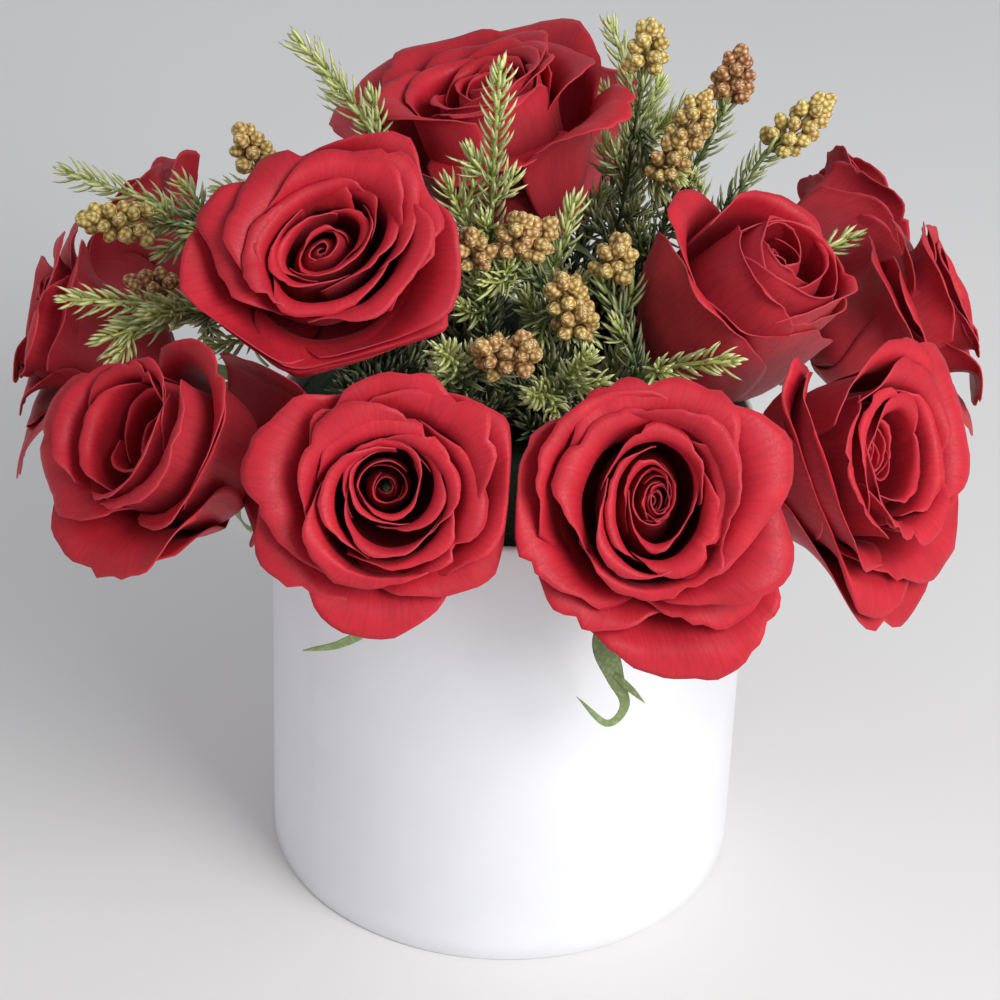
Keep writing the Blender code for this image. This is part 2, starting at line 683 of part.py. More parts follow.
def free_place(start, end, room):
    """The ends of a stalk, moved as little as it takes to stand clear of what is there."""
    return next((start + shift, end + shift) for shift in SHIFTS
                if is_clear(stations([start + shift, end + shift], 2.0), room))


def make_cones(name, material):
    start, end = free_place(*(Vector(place) for place in CONES[name]), CONE_RADIUS + ROOM)
    axis = (end - start).normalized()
    cone_starts[name] = (start, axis)
    core = tube("stalk", [start + axis * CONE_GAP, end], STALK_RADIUS, 0, cutters)
    pieces = new_pieces("cones")
    side = axis.orthogonal().normalized()
    for index in range(CONES_EACH):
        share = index / (CONES_EACH - 1)
        turn = math.radians(index * GOLDEN_ANGLE)
        around = side * math.cos(turn) + axis.cross(side) * math.sin(turn)
        place = start.lerp(end, 0.42 + 0.58 * share) + around * CONE_RADIUS * 1.1 * (1.0 - share ** 3)
        if not is_clear([place], CONE_LENGTH + ROOM):
            continue
        bm = bmesh.new()
        bmesh.ops.create_uvsphere(bm, u_segments=4, v_segments=3, radius=1.0)
        turn = Vector((0, 0, 1)).rotation_difference(around * (1.0 - share) + axis * (0.7 + share))
        for vert in bm.verts:
            x, y, z = vert.co
            vert.co = (place + turn @ Vector((x * CONE_RADIUS, y * CONE_RADIUS, z * CONE_LENGTH))) * MM
        add_object("cone", mesh_of(bm, "cone"), pieces)
    return joined(f"cones_{name}", core, pieces, material)


def root_spots(wish):
    """Places in the foam for a stem, the nearest to the one wished for first."""
    spots = []
    for row in range(-10, 11):
        for column in range(-10, 11):
            spot = Vector((column * 6.0 + row % 2 * 3.0, row * 5.2, 0.0))
            if spot.length < FOAM_TOP_RADIUS - 3.0:
                spots.append(spot)
    wished = Vector((*wish, 0.0))
    return sorted(spots, key=lambda spot: (spot - wished).length)


def blocked_share(path, room, apart_from=()):
    points = stations(path, 2.0)
    return sum(not is_clear([point], room, apart_from) for point in points) / len(points)


def led_to(tip, start, lift, pull, spans):
    """A curve to a tip, with a last straight length where the tip carries cones."""
    if isinstance(tip, str):
        place, axis = cone_starts[tip]
        bend = place - axis * STRAIGHT
        return curve_points((start, lift, bend - axis * STRAIGHT * 2.0, bend), spans - 1) + [place]
    return curve_points((start, lift, pull, Vector(tip)), spans)


def clear_path(wish, middle, tip):
    """The stem's path, over nearby roots and bends, that keeps clear of everything else."""
    apart_from = (f"cones_{tip}",)
    best = (2.0, None)
    for root in root_spots(wish)[:40]:
        deep = Vector((root.x, root.y, FOAM_TOP - SPRIG_ROOT))
        leaving = Vector((root.x, root.y, FOAM_TOP + 2.0))
        for shift in SHIFTS:
            bend = Vector(middle) + shift * 1.5
            lift = leaving + Vector((0, 0, (bend - leaving).length * 0.45))
            path = [deep] + led_to(tip, leaving, lift, bend + (bend - leaving) * 0.12, STEM_SPANS)
            blocked = blocked_share(path, SPRIG_STEM_RADIUS + ROOM, apart_from)
            if blocked < best[0]:
                best = (blocked, path)
            if blocked == 0.0:
                return path
    return best[1]


def guides_of(name):
    """The names under which a sprig's bare stem and shoots are remembered."""
    return [guide for guide in solids if guide.startswith(f"{name}:")]


def shoot_path(name, path, share, tip):
    place = cone_starts[tip][0] if isinstance(tip, str) else Vector(tip)
    apart_from = guides_of(name) + [f"cones_{tip}"]
    best = (2.0, None)
    for change in (0.0, -0.08, 0.08, -0.16, 0.16, -0.24):
        index = max(2, min(len(path) - 2, round((share + change) * (len(path) - 1))))
        start, grow = path[index], (path[index + 1] - path[index]).normalized()
        for shift in SHIFTS:
            length = (place - start).length
            lift = start + grow * length * 0.35 + shift
            shoot = led_to(tip, start, lift, place.lerp(start, 0.4) + shift, SHOOT_SPANS)
            blocked = blocked_share(shoot[1:], SPRIG_STEM_RADIUS + ROOM, apart_from)
            if blocked < best[0]:
                best = (blocked, shoot)
            if blocked == 0.0:
                return shoot
    return best[1]


def needles_along(path, from_share, own, pieces, ends_in_cones):
    """Awl-shaped needles set in a spiral, closing round the tip."""
    points = stations(path, NEEDLE_STEP)
    first = round(from_share * len(points))
    for index in range(first, len(points) - 1):
        place = points[index]
        axis = (points[index + 1] - place).normalized()
        side = axis.orthogonal().normalized()
        turn = math.radians(index * GOLDEN_ANGLE)
        around = side * math.cos(turn) + axis.cross(side) * math.sin(turn)
        left = (len(points) - 1 - index) * NEEDLE_STEP
        spread = math.radians(52.0 if left > 8.0 or ends_in_cones else 36.0)
        direction = axis * math.cos(spread) + around * math.sin(spread)
        tip = place + direction * NEEDLE_LENGTH
        if is_clear([place.lerp(tip, step / 4) for step in (1, 2, 3, 4)], NEEDLE_ROOM, own):
            add_needle(place, direction, pieces)
    if not ends_in_cones:
        for turn in (0.0, 2.1, 4.2):
            around = side * math.cos(turn) + axis.cross(side) * math.sin(turn)
            direction = (axis + around * 0.35).normalized()
            start = path[-1] - axis * 1.5
            if is_clear([start + direction * NEEDLE_LENGTH * 0.8], NEEDLE_ROOM, own):
                add_needle(start, direction, pieces)


def add_needle(place, direction, pieces):
    bm = bmesh.new()
    bmesh.ops.create_cone(bm, cap_ends=True, segments=3, radius1=NEEDLE_RADIUS, radius2=0.0,
                          depth=NEEDLE_LENGTH)
    bmesh.ops.remove_doubles(bm, verts=bm.verts, dist=0.01)
    turn = Vector((0, 0, 1)).rotation_difference(direction)
    for vert in bm.verts:
        vert.co = (place + turn @ (vert.co + Vector((0, 0, NEEDLE_LENGTH / 2)))) * MM
    add_object("needle", mesh_of(bm, "needle"), pieces)


def make_sprig(name, paths, material):
    """The stem and its side shoots, with needles on all but the lowest part."""
    own = guides_of(name)
    tips = [SPRIGS[name][2]] + [shoot[1] for shoot in SPRIGS[name][3]]
    core = tube("stem", paths[0], SPRIG_STEM_RADIUS, 0, cutters, 0.85)
    pieces = new_pieces("sprig")
    for index, (path, tip) in enumerate(zip(paths, tips)):
        if index:
            tube("shoot", path, SPRIG_STEM_RADIUS * 0.9, 0, pieces, 0.9)
        needles_along(path, 0.38 if index == 0 else 0.2, own, pieces, isinstance(tip, str))
    return joined(f"sprig_{name}", core, pieces, material)


def bore(foam, holes):
    """Plain straight holes in the foam, each a fit wider than the stem that stands in it."""
    group = new_pieces("holes")
    for deep, leaving, radius in holes:
        axis = (leaving - deep).normalized()
        wide = (radius + FIT) / math.cos(math.pi / 6)
        tube("hole", [deep - axis * FIT, leaving + axis * 6.0], wide, 1, group)
    cut = foam.modifiers.new("holes", "BOOLEAN")
    cut.operation = "DIFFERENCE"
    cut.operand_type = "COLLECTION"
    cut.collection = group
    cut.solver = "MANIFOLD"
    mesh = largest_body(evaluated_mesh(foam))
    material = foam.data.materials[0]
    bpy.data.objects.remove(foam)
    for piece in list(group.objects):
        bpy.data.objects.remove(piece)
    bpy.data.collections.remove(group)
    return add_part("flower_foam", mesh, material)


# Made from the box outwards, so that each stem and needle keeps clear of what is there

make_box()
foam = make_foam()
petal_red = finish("rose_petal", (0.55, 0.01, 0.025), 0.6)
stem_green = finish("rose_green", (0.12, 0.24, 0.07), 0.55)
needle_green = finish("conifer_green", (0.06, 0.16, 0.05), 0.5)
cone_gold = finish("pollen_cone", (0.50, 0.28, 0.08), 0.6)

for name in ROSES:
    remember(make_bloom(name, petal_red))
holes = []
for name in ROSES:
    stem, deep, leaving = make_stem(name, stem_green)
    remember(stem)
    holes.append((deep, leaving, ROSE_STEM_RADIUS))
for name in CONES:
    remember(make_cones(name, cone_gold))
sprig_paths = {}
for name, (wish, middle, tip, shoots) in SPRIGS.items():
    stem_path = clear_path(wish, middle, tip)
    sprig_paths[name] = [stem_path] + [shoot_path(name, stem_path, share, end) for share, end in shoots]
    for index, path in enumerate(sprig_paths[name]):
        guide = tube(f"{name}:{index}", path, SPRIG_STEM_RADIUS, 0, cutters)
        remember(guide)
        bpy.data.objects.remove(guide)
    holes.append((stem_path[0], stem_path[1], SPRIG_STEM_RADIUS))
for name, paths in sprig_paths.items():
    remember(make_sprig(name, paths, needle_green))
bore(foam, holes)
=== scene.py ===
# Flower hat box: a round white paper-covered box that holds red roses, conifer sprigs and
# small pollen cones. Lengths are in metres; the tables and formulas for the flowers are in
# millimetres and are scaled by MM as each mesh is made.

import math
import random

import bmesh
import bpy
from mathutils import Matrix, Vector, noise
from mathutils.bvhtree import BVHTree


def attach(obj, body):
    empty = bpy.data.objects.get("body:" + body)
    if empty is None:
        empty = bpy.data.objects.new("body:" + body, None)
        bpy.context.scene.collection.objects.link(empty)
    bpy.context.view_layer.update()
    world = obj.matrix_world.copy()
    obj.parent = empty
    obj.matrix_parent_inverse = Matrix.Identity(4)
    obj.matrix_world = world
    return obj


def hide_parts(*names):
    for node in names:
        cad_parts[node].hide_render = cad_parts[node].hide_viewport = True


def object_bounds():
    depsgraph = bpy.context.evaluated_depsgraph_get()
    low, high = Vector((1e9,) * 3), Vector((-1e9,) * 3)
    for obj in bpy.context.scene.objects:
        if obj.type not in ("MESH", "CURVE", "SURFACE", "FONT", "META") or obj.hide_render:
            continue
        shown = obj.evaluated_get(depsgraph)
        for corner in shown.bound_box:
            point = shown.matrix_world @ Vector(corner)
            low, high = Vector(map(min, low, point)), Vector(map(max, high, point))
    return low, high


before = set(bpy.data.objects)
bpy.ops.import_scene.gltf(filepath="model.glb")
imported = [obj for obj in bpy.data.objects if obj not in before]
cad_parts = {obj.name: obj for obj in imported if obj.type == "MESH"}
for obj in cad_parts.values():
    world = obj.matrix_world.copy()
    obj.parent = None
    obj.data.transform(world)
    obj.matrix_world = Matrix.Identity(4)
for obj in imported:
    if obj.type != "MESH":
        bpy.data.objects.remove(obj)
cad_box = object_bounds()


# Camera. A long lens stands in front of the box and looks down on it at about 33 degrees,
# held a little off level.

camera = bpy.data.cameras.new("camera")
camera.lens = 122.4
camera.sensor_width = 36.0
camera.clip_start = 0.01
camera_at = bpy.data.objects.new("camera", camera)
look = Vector((0, 0.84256, -0.53859))
right = Vector((0.99933, 0.01972, 0.03085))
up = Vector((-0.03662, 0.53823, 0.842))
stand = Matrix.Translation((-0.0037634, -0.896218, 0.696799))
camera_at.matrix_world = stand @ Matrix((right, up, -look)).transposed().to_4x4()
bpy.context.scene.collection.objects.link(camera_at)
bpy.context.scene.camera = camera_at


# Studio. A plain pale table top that runs out of the picture, a large soft light above and
# to the right of the flowers, a weak one from the left and an even pale sky.

def finish(name, roughness):
    """A new finish: the material, its node tree and its shader."""
    material = bpy.data.materials.new(name)
    material.use_nodes = True
    shader = material.node_tree.nodes["Principled BSDF"]
    shader.inputs["Roughness"].default_value = roughness
    return material, material.node_tree, shader


def step(tree, kind, values=(), **settings):
    """A node with its settings, and with its inputs set to values or joined to sockets."""
    made = tree.nodes.new(kind)
    for setting, value in settings.items():
        setattr(made, setting, value)
    for socket, value in dict(values).items():
        if isinstance(value, bpy.types.NodeSocket):
            tree.links.new(value, made.inputs[socket])
        else:
            made.inputs[socket].default_value = value
    return made


def mixed(tree, share, first, second):
    """A colour between two others."""
    made = step(tree, "ShaderNodeMix", {0: share, 6: first, 7: second}, data_type="RGBA")
    return made.outputs[2]


def throughout(tree):
    """Places taken through the whole object."""
    return step(tree, "ShaderNodeTexCoord").outputs["Object"]


def piece_of(name, bm, slot, *materials):
    """A finished mesh as a piece of the flower box."""
    mesh = bpy.data.meshes.new(name)
    bm.to_mesh(mesh)
    bm.free()
    for material in materials:
        mesh.materials.append(material)
    mesh.shade_smooth()
    piece = bpy.data.objects.new(name, mesh)
    bpy.context.scene.collection.objects.link(piece)
    if slot:
        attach(piece, "root")
    return piece


table_top, tree, shader = finish("table_top", 0.6)
cloud = step(tree, "ShaderNodeTexNoise", {"Vector": throughout(tree), "Scale": 3.0}).outputs[0]
colour = mixed(tree, cloud, (0.75, 0.742, 0.724, 1), (0.81, 0.803, 0.788, 1))
tree.links.new(colour, shader.inputs["Base Color"])
bm = bmesh.new()
bmesh.ops.create_grid(bm, x_segments=8, y_segments=8, size=4.0)
floor = piece_of("floor", bm, None, table_top)

world = bpy.data.worlds.new("pale_sky")
world.use_nodes = True
world.node_tree.nodes["Background"].inputs[0].default_value = (0.93, 0.95, 1.0, 1.0)
world.node_tree.nodes["Background"].inputs[1].default_value = 0.54
bpy.context.scene.world = world
bpy.context.scene.view_settings.view_transform = "Standard"

for name, place, size, power in (
        ("key", (0.72, -0.76, 0.85), 0.7, 14.3),
        ("side", (-0.9, -0.5, 0.5), 0.8, 0.3)):
    lamp = bpy.data.lights.new(name, "AREA")
    lamp.size = size
    lamp.energy = power
    lamp_at = bpy.data.objects.new(name, lamp)
    lamp_at.location = place
    lamp_at.rotation_euler = (Vector((0, 0, 0.13)) - Vector(place)).to_track_quat("-Z", "Y").to_euler()
    bpy.context.scene.collection.objects.link(lamp_at)


# Box wall. A tube of rolled board covered with smooth white paper, which is turned over the
# rim and laps on itself at one upright seam at the left of the front.

def between(tree, value, start, end, low=0.0, high=1.0):
    """A value carried from one range to another and held inside it, with soft ends."""
    made = step(tree, "ShaderNodeMapRange", {0: value, 1: start, 2: end, 3: low, 4: high},
                interpolation_type="SMOOTHSTEP")
    return made.outputs[0]


def grain_group():
    """Soft uneven tone and fine tooth for paper, board, film, petals and stems."""
    group = bpy.data.node_groups.new("soft_grain", "ShaderNodeTree")
    for socket, kind in (("Place", "Vector"), ("Size", "Float"), ("Amount", "Float")):
        group.interface.new_socket(name=socket, in_out="INPUT", socket_type=f"NodeSocket{kind}")
    for socket in ("Tone", "Tooth"):
        group.interface.new_socket(name=socket, in_out="OUTPUT", socket_type="NodeSocketFloat")
    given = group.nodes.new("NodeGroupInput")
    kept = group.nodes.new("NodeGroupOutput")
    place, size, amount = given.outputs[:3]
    broad = step(group, "ShaderNodeTexNoise", {"Vector": place, "Scale": size, "Detail": 3.0}).outputs[0]
    small = step(group, "ShaderNodeMath", {0: size, 1: 14.0}, operation="MULTIPLY").outputs[0]
    fine = step(group, "ShaderNodeTexNoise", {"Vector": place, "Scale": small, "Detail": 5.0})
    less = step(group, "ShaderNodeMath", {0: 1.0, 1: amount}, operation="SUBTRACT").outputs[0]
    tone = step(group, "ShaderNodeMapRange", {0: broad, 1: 0.3, 2: 0.7, 3: less, 4: 1.0})
    group.links.new(tone.outputs[0], kept.inputs[0])
    group.links.new(fine.outputs[0], kept.inputs[1])
    return group


soft_grain = grain_group()


def grained(tree, size, amount):
    """The tone and the tooth of the soft grain in a finish."""
    made = tree.nodes.new("ShaderNodeGroup")
    made.node_tree = soft_grain
    tree.links.new(throughout(tree), made.inputs[0])
    made.inputs[1].default_value = size
    made.inputs[2].default_value = amount
    return made.outputs[:2]


def toned(tree, colour, tone):
    """A colour darkened by a tone."""
    made = step(tree, "ShaderNodeMix", {0: 1.0, 6: colour, 7: tone}, data_type="RGBA", blend_type="MULTIPLY")
    return made.outputs[2]


def embossed(tree, shader, height, strength, depth):
    """A height as small relief in the finish."""
    made = step(tree, "ShaderNodeBump", {"Height": height, "Strength": strength, "Distance": depth})
    tree.links.new(made.outputs[0], shader.inputs["Normal"])


def rough(x, y, z):
    """A smooth random value from -1 to 1 for a place."""
    return noise.noise(Vector((x, y, z)))


def lathed(profile, sides, closed=False):
    """An outline of radii and heights, turned all the way round the upright axis."""
    bm = bmesh.new()
    ring = [bm.verts.new((radius, 0.0, height)) for radius, height in profile]
    edges = [bm.edges.new(pair) for pair in zip(ring, ring[1:] + (ring[:1] if closed else []))]
    bmesh.ops.spin(bm, geom=ring + edges, cent=(0, 0, 0), axis=(0, 0, 1), angle=math.tau, steps=sides,
                   use_merge=True)
    bmesh.ops.remove_doubles(bm, verts=bm.verts, dist=0.00001)
    return bm


BOX_RADIUS = 0.075
BOX_HEIGHT = 0.155
WALL = 0.0025
LAP = 0.00022
SEAM = math.radians(-53.0)
PAPER_EASE = 0.0001
BULGE = 0.00012

white_paper, tree, shader = finish("white_paper", 0.42)
tone, tooth = grained(tree, 45.0, 0.035)
tree.links.new(toned(tree, (0.83, 0.835, 0.858, 1), tone), shader.inputs["Base Color"])
tree.links.new(between(tree, tooth, 0.3, 0.7, 0.38, 0.5), shader.inputs["Roughness"])
embossed(tree, shader, tooth, 0.25, 0.00008)

profile = []
for turn in range(0, 181, 30):
    angle = math.radians(turn)
    profile.append((BOX_RADIUS - WALL / 2 - WALL / 2 * math.cos(angle),
                    BOX_HEIGHT - WALL / 2 + WALL / 2 * math.sin(angle)))
profile += [(BOX_RADIUS, 0.149 - 0.149 * row / 22) for row in range(22)]
profile += [(BOX_RADIUS, 0.0008), (BOX_RADIUS - 0.0006, 0.0)]
profile += [(BOX_RADIUS - WALL, 0.0), (BOX_RADIUS - WALL, 0.075)]
bm = lathed(profile, 256, closed=True)
for vert in bm.verts:
    radius, angle = math.hypot(vert.co.x, vert.co.y), math.atan2(vert.co.x, -vert.co.y)
    if radius > BOX_RADIUS - WALL / 2:
        past = (angle - SEAM) % math.tau
        sunk = LAP * min(1.0, past / 0.5) if past > 0.0 else LAP
        bulge = BULGE * rough(math.sin(angle) * 2.0, math.cos(angle) * 2.0, vert.co.z * 25.0)
        share = (radius - sunk - PAPER_EASE + bulge) / radius
        vert.co.x *= share
        vert.co.y *= share
bmesh.ops.recalc_face_normals(bm, faces=bm.faces)
wall = piece_of("wall_paper", bm, "white_paper", white_paper)
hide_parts("box_wall")


# Box base. A disc of bare grey board glued into the foot of the wall, seen from below. It
# keeps its plain form and takes on the look of rough board.

grey_board, tree, shader = finish("grey_board", 0.85)
tone, tooth = grained(tree, 60.0, 0.16)
flecks = step(tree, "ShaderNodeTexVoronoi", {"Scale": 900.0, "Vector": throughout(tree)}).outputs[0]
colour = mixed(tree, between(tree, flecks, 0.12, 0.3), (0.36, 0.33, 0.29, 1), (0.5, 0.48, 0.44, 1))
tree.links.new(toned(tree, colour, tone), shader.inputs["Base Color"])
embossed(tree, shader, tooth, 0.5, 0.0002)
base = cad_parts["box_base"]
base.data.materials.clear()
base.data.materials.append(grey_board)


# Liner. A cup of thin dark film that keeps the wet foam off the board. Its free edge is
# slightly crinkled where it was trimmed below the rim.

LINER_RADIUS = 0.0722
LINER_THICKNESS = 0.0006
LINER_FLOOR = 0.0033
LINER_TOP = 0.146
CRINKLED_FROM = 0.1
CRINKLE = 0.0012

liner_film, tree, shader = finish("liner_film", 0.28)
tone = grained(tree, 30.0, 0.3)[0]
tree.links.new(toned(tree, (0.12, 0.15, 0.13, 1), tone), shader.inputs["Base Color"])
embossed(tree, shader, tone, 0.6, 0.0006)

floor_top = LINER_FLOOR + LINER_THICKNESS
heights = [floor_top + (LINER_TOP - LINER_FLOOR - LINER_THICKNESS) * row / 10 for row in range(11)]
profile = [(0.0, floor_top)] + [(LINER_RADIUS - LINER_THICKNESS, height) for height in heights]
profile += [(LINER_RADIUS, height) for height in heights[:0:-1]]
profile += [(LINER_RADIUS, LINER_FLOOR), (0.0, LINER_FLOOR)]
bm = lathed(profile, 144)
for vert in bm.verts:
    if vert.co.z > CRINKLED_FROM:
        pull = (vert.co.z - CRINKLED_FROM) / (LINER_TOP - CRINKLED_FROM)
        vert.co.z += CRINKLE * pull * rough(vert.co.x * 140.0, vert.co.y * 140.0, 1.0)
bmesh.ops.recalc_face_normals(bm, faces=bm.faces)
liner = piece_of("liner_cup", bm, "liner_film", liner_film)
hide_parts("liner")


# Flower foam. A block of soaked green foam pressed into the liner and trimmed to a low dome
# above the rim. It is open-celled and crumbles a little at the edges.

MM = 0.001
FOAM_RADIUS = 71.3
FOAM_TOP_RADIUS = 54.0
FOAM_FLAT = 52.0
FOAM_CRUMBS = ((0.0009, 260.0), (0.0006, 700.0))
FOAM_TOP = 166.0
FOAM_SHOULDER = 149.0
FOAM_FLOOR = 4.2

green_foam, tree, shader = finish("green_foam", 0.95)
tone = grained(tree, 70.0, 0.35)[0]
cells = step(tree, "ShaderNodeTexVoronoi", {"Vector": throughout(tree), "Scale": 1400.0}).outputs[0]
# Painted shade: the foam's own dark green is darkened nearly to black, as it shows only in the deep gaps
# between the blooms.
colour = mixed(tree, between(tree, cells, 0.1, 0.6), (0.006, 0.016, 0.007, 1), (0.02, 0.05, 0.022, 1))
tree.links.new(toned(tree, colour, tone), shader.inputs["Base Color"])
embossed(tree, shader, cells, 0.8, 0.0005)

profile = [(0.0, FOAM_TOP)]
profile += [(FOAM_TOP_RADIUS * share / 12, FOAM_TOP) for share in range(1, 12)]
for turn in range(0, 10):
    share = turn / 9
    radius = FOAM_FLAT + (FOAM_RADIUS - FOAM_FLAT) * share
    profile.append((radius, FOAM_SHOULDER + (FOAM_TOP - FOAM_SHOULDER) * (1.0 - share ** 1.6)))
profile += [(FOAM_RADIUS, FOAM_SHOULDER - 4.0), (FOAM_RADIUS, FOAM_FLOOR), (0.0, FOAM_FLOOR)]
bm = lathed([(radius * MM, height * MM) for radius, height in profile], 120)
for vert in bm.verts:
    if vert.co.z > (FOAM_SHOULDER - 1.0) * MM:
        vert.co.z -= sum(depth * (1.0 + noise.noise(vert.co * size)) for depth, size in FOAM_CRUMBS)
bmesh.ops.recalc_face_normals(bm, faces=bm.faces)
foam = piece_of("foam_block", bm, "green_foam", green_foam)
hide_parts("flower_foam")


# Rose blooms. Each is one flower: soft velvety petals that grow in a spiral from one base,
# rolled tight at the heart and turned back at the outside. Neighbours press on each other.

IMAGE_UP = Vector((-0.037, 0.538, 0.842))
GOLDEN_ANGLE = 137.5
BODY_HEIGHT = 27.0
PETAL_THICKNESS = 0.36
MARGIN_ROLL = 5.0
FEW_ROWS = 0.42
PRESS_SOFT = 4.0
PRESS_GAP = 0.6

# Rose forms. Each list gives (place in the bloom, value), from the innermost petal at 0 to
# the outermost at 1. A petal stands up to its crest and rolls outwards from there: radius is
# the crest's share of the rose's size, height its share of the tallness, lean the slope of
# the petal there, curl the radius of the roll in mm and roll how far it turns in degrees.

HOLLOW = {
    "radius": ((0, .04), (.1, .11), (.2, .21), (.45, .37), (.62, .48), (.8, .61), (1, .78)),
    "height": ((0, .68), (.12, .76), (.2, .88), (.45, .97), (.62, .96), (.8, .88), (1, .75)),
    "lean": ((0, -20), (.2, -6), (.45, 6), (.62, 16), (.8, 34), (1, 56)),
    "curl": ((0, .6), (.2, 1.3), (.45, 2.8), (.62, 4.6), (.8, 8.5), (1, 15.0)),
    "roll": ((0, 40), (.2, 90), (.45, 108), (.62, 104), (.8, 86), (1, 52)),
    "wrap": ((0, 150), (.2, 105), (.45, 84), (.7, 68), (1, 62)),
    "belly": ((0, 12), (.5, 50), (1, 74)),
    "band": ((0, .25), (.4, .2), (.7, .26), (1, .36)),
    "fall": ((0, .10), (.45, .13), (.75, .17), (1, .20)),
}
TIGHT = {
    **HOLLOW,
    "radius": ((0, .02), (.4, .14), (.5, .27), (.62, .38), (.75, .50), (.88, .62), (1, .76)),
    "height": ((0, .72), (.4, .80), (.5, .90), (.62, .97), (.75, .95), (.88, .87), (1, .74)),
    "lean": ((0, -12), (.4, -4), (.5, 2), (.62, 12), (.75, 20), (.88, 38), (1, 58)),
    "curl": ((0, .4), (.4, .8), (.5, 2.4), (.62, 3.6), (.75, 5.4), (.88, 9.0), (1, 15.0)),
    "roll": ((0, 60), (.4, 85), (.5, 100), (.62, 108), (.75, 104), (.88, 84), (1, 54)),
    "wrap": ((0, 150), (.4, 110), (.5, 92), (.7, 72), (1, 62)),
}
BUDDED = {
    **HOLLOW,
    "radius": ((0, .02), (.14, .08), (.3, .25), (.45, .37), (.62, .48), (.8, .61), (1, .78)),
    "height": ((0, .82), (.14, .82), (.3, .88), (.45, .95), (.62, .96), (.8, .90), (1, .78)),
    "lean": ((0, -35), (.14, -25), (.3, 0), (.45, 8), (.62, 20), (.8, 38), (1, 62)),
}
CUP = {
    **HOLLOW,
    "radius": ((0, .03), (.15, .12), (.3, .24), (.5, .42), (.7, .56), (.86, .70), (1, .88)),
    "height": ((0, .60), (.15, .70), (.3, .82), (.5, .97), (.7, 1.0), (.86, .88), (1, .62)),
    "lean": ((0, -30), (.2, -18), (.45, -4), (.7, 12), (.86, 36), (1, 60)),
    "roll": ((0, 40), (.2, 70), (.45, 86), (.7, 96), (.86, 80), (1, 50)),
}
SIDE = {
    **HOLLOW,
    "radius": ((0, .04), (.1, .11), (.2, .21), (.45, .36), (.62, .45), (.8, .54), (1, .64)),
}
BUD = {
    **HOLLOW,
    "radius": ((0, .02), (.15, .12), (.45, .34), (.7, .56), (.86, .74), (1, .9)),
    "height": ((0, .90), (.15, .96), (.45, 1.0), (.7, .99), (.86, .92), (1, .80)),
    "lean": ((0, -45), (.2, -35), (.45, -22), (.7, -6), (.86, 10), (1, 34)),
    "curl": ((0, .4), (.2, .8), (.45, 1.4), (.7, 2.6), (.86, 4.5), (1, 7)),
    "roll": ((0, 30), (.2, 50), (.45, 80), (.7, 105), (.86, 110), (1, 90)),
    "wrap": ((0, 160), (.2, 120), (.45, 95), (.7, 80), (1, 62)),
}
TALL = {
    **HOLLOW,
    "radius": ((0, .02), (.15, .10), (.45, .30), (.7, .48), (.82, .60), (.9, .74), (1, .9)),
    "height": ((0, .90), (.15, .95), (.45, .97), (.7, .94), (.82, .90), (.9, .84), (1, .76)),
    "lean": ((0, -40), (.2, -25), (.45, -5), (.7, 14), (.82, 34), (.9, 50), (1, 64)),
}

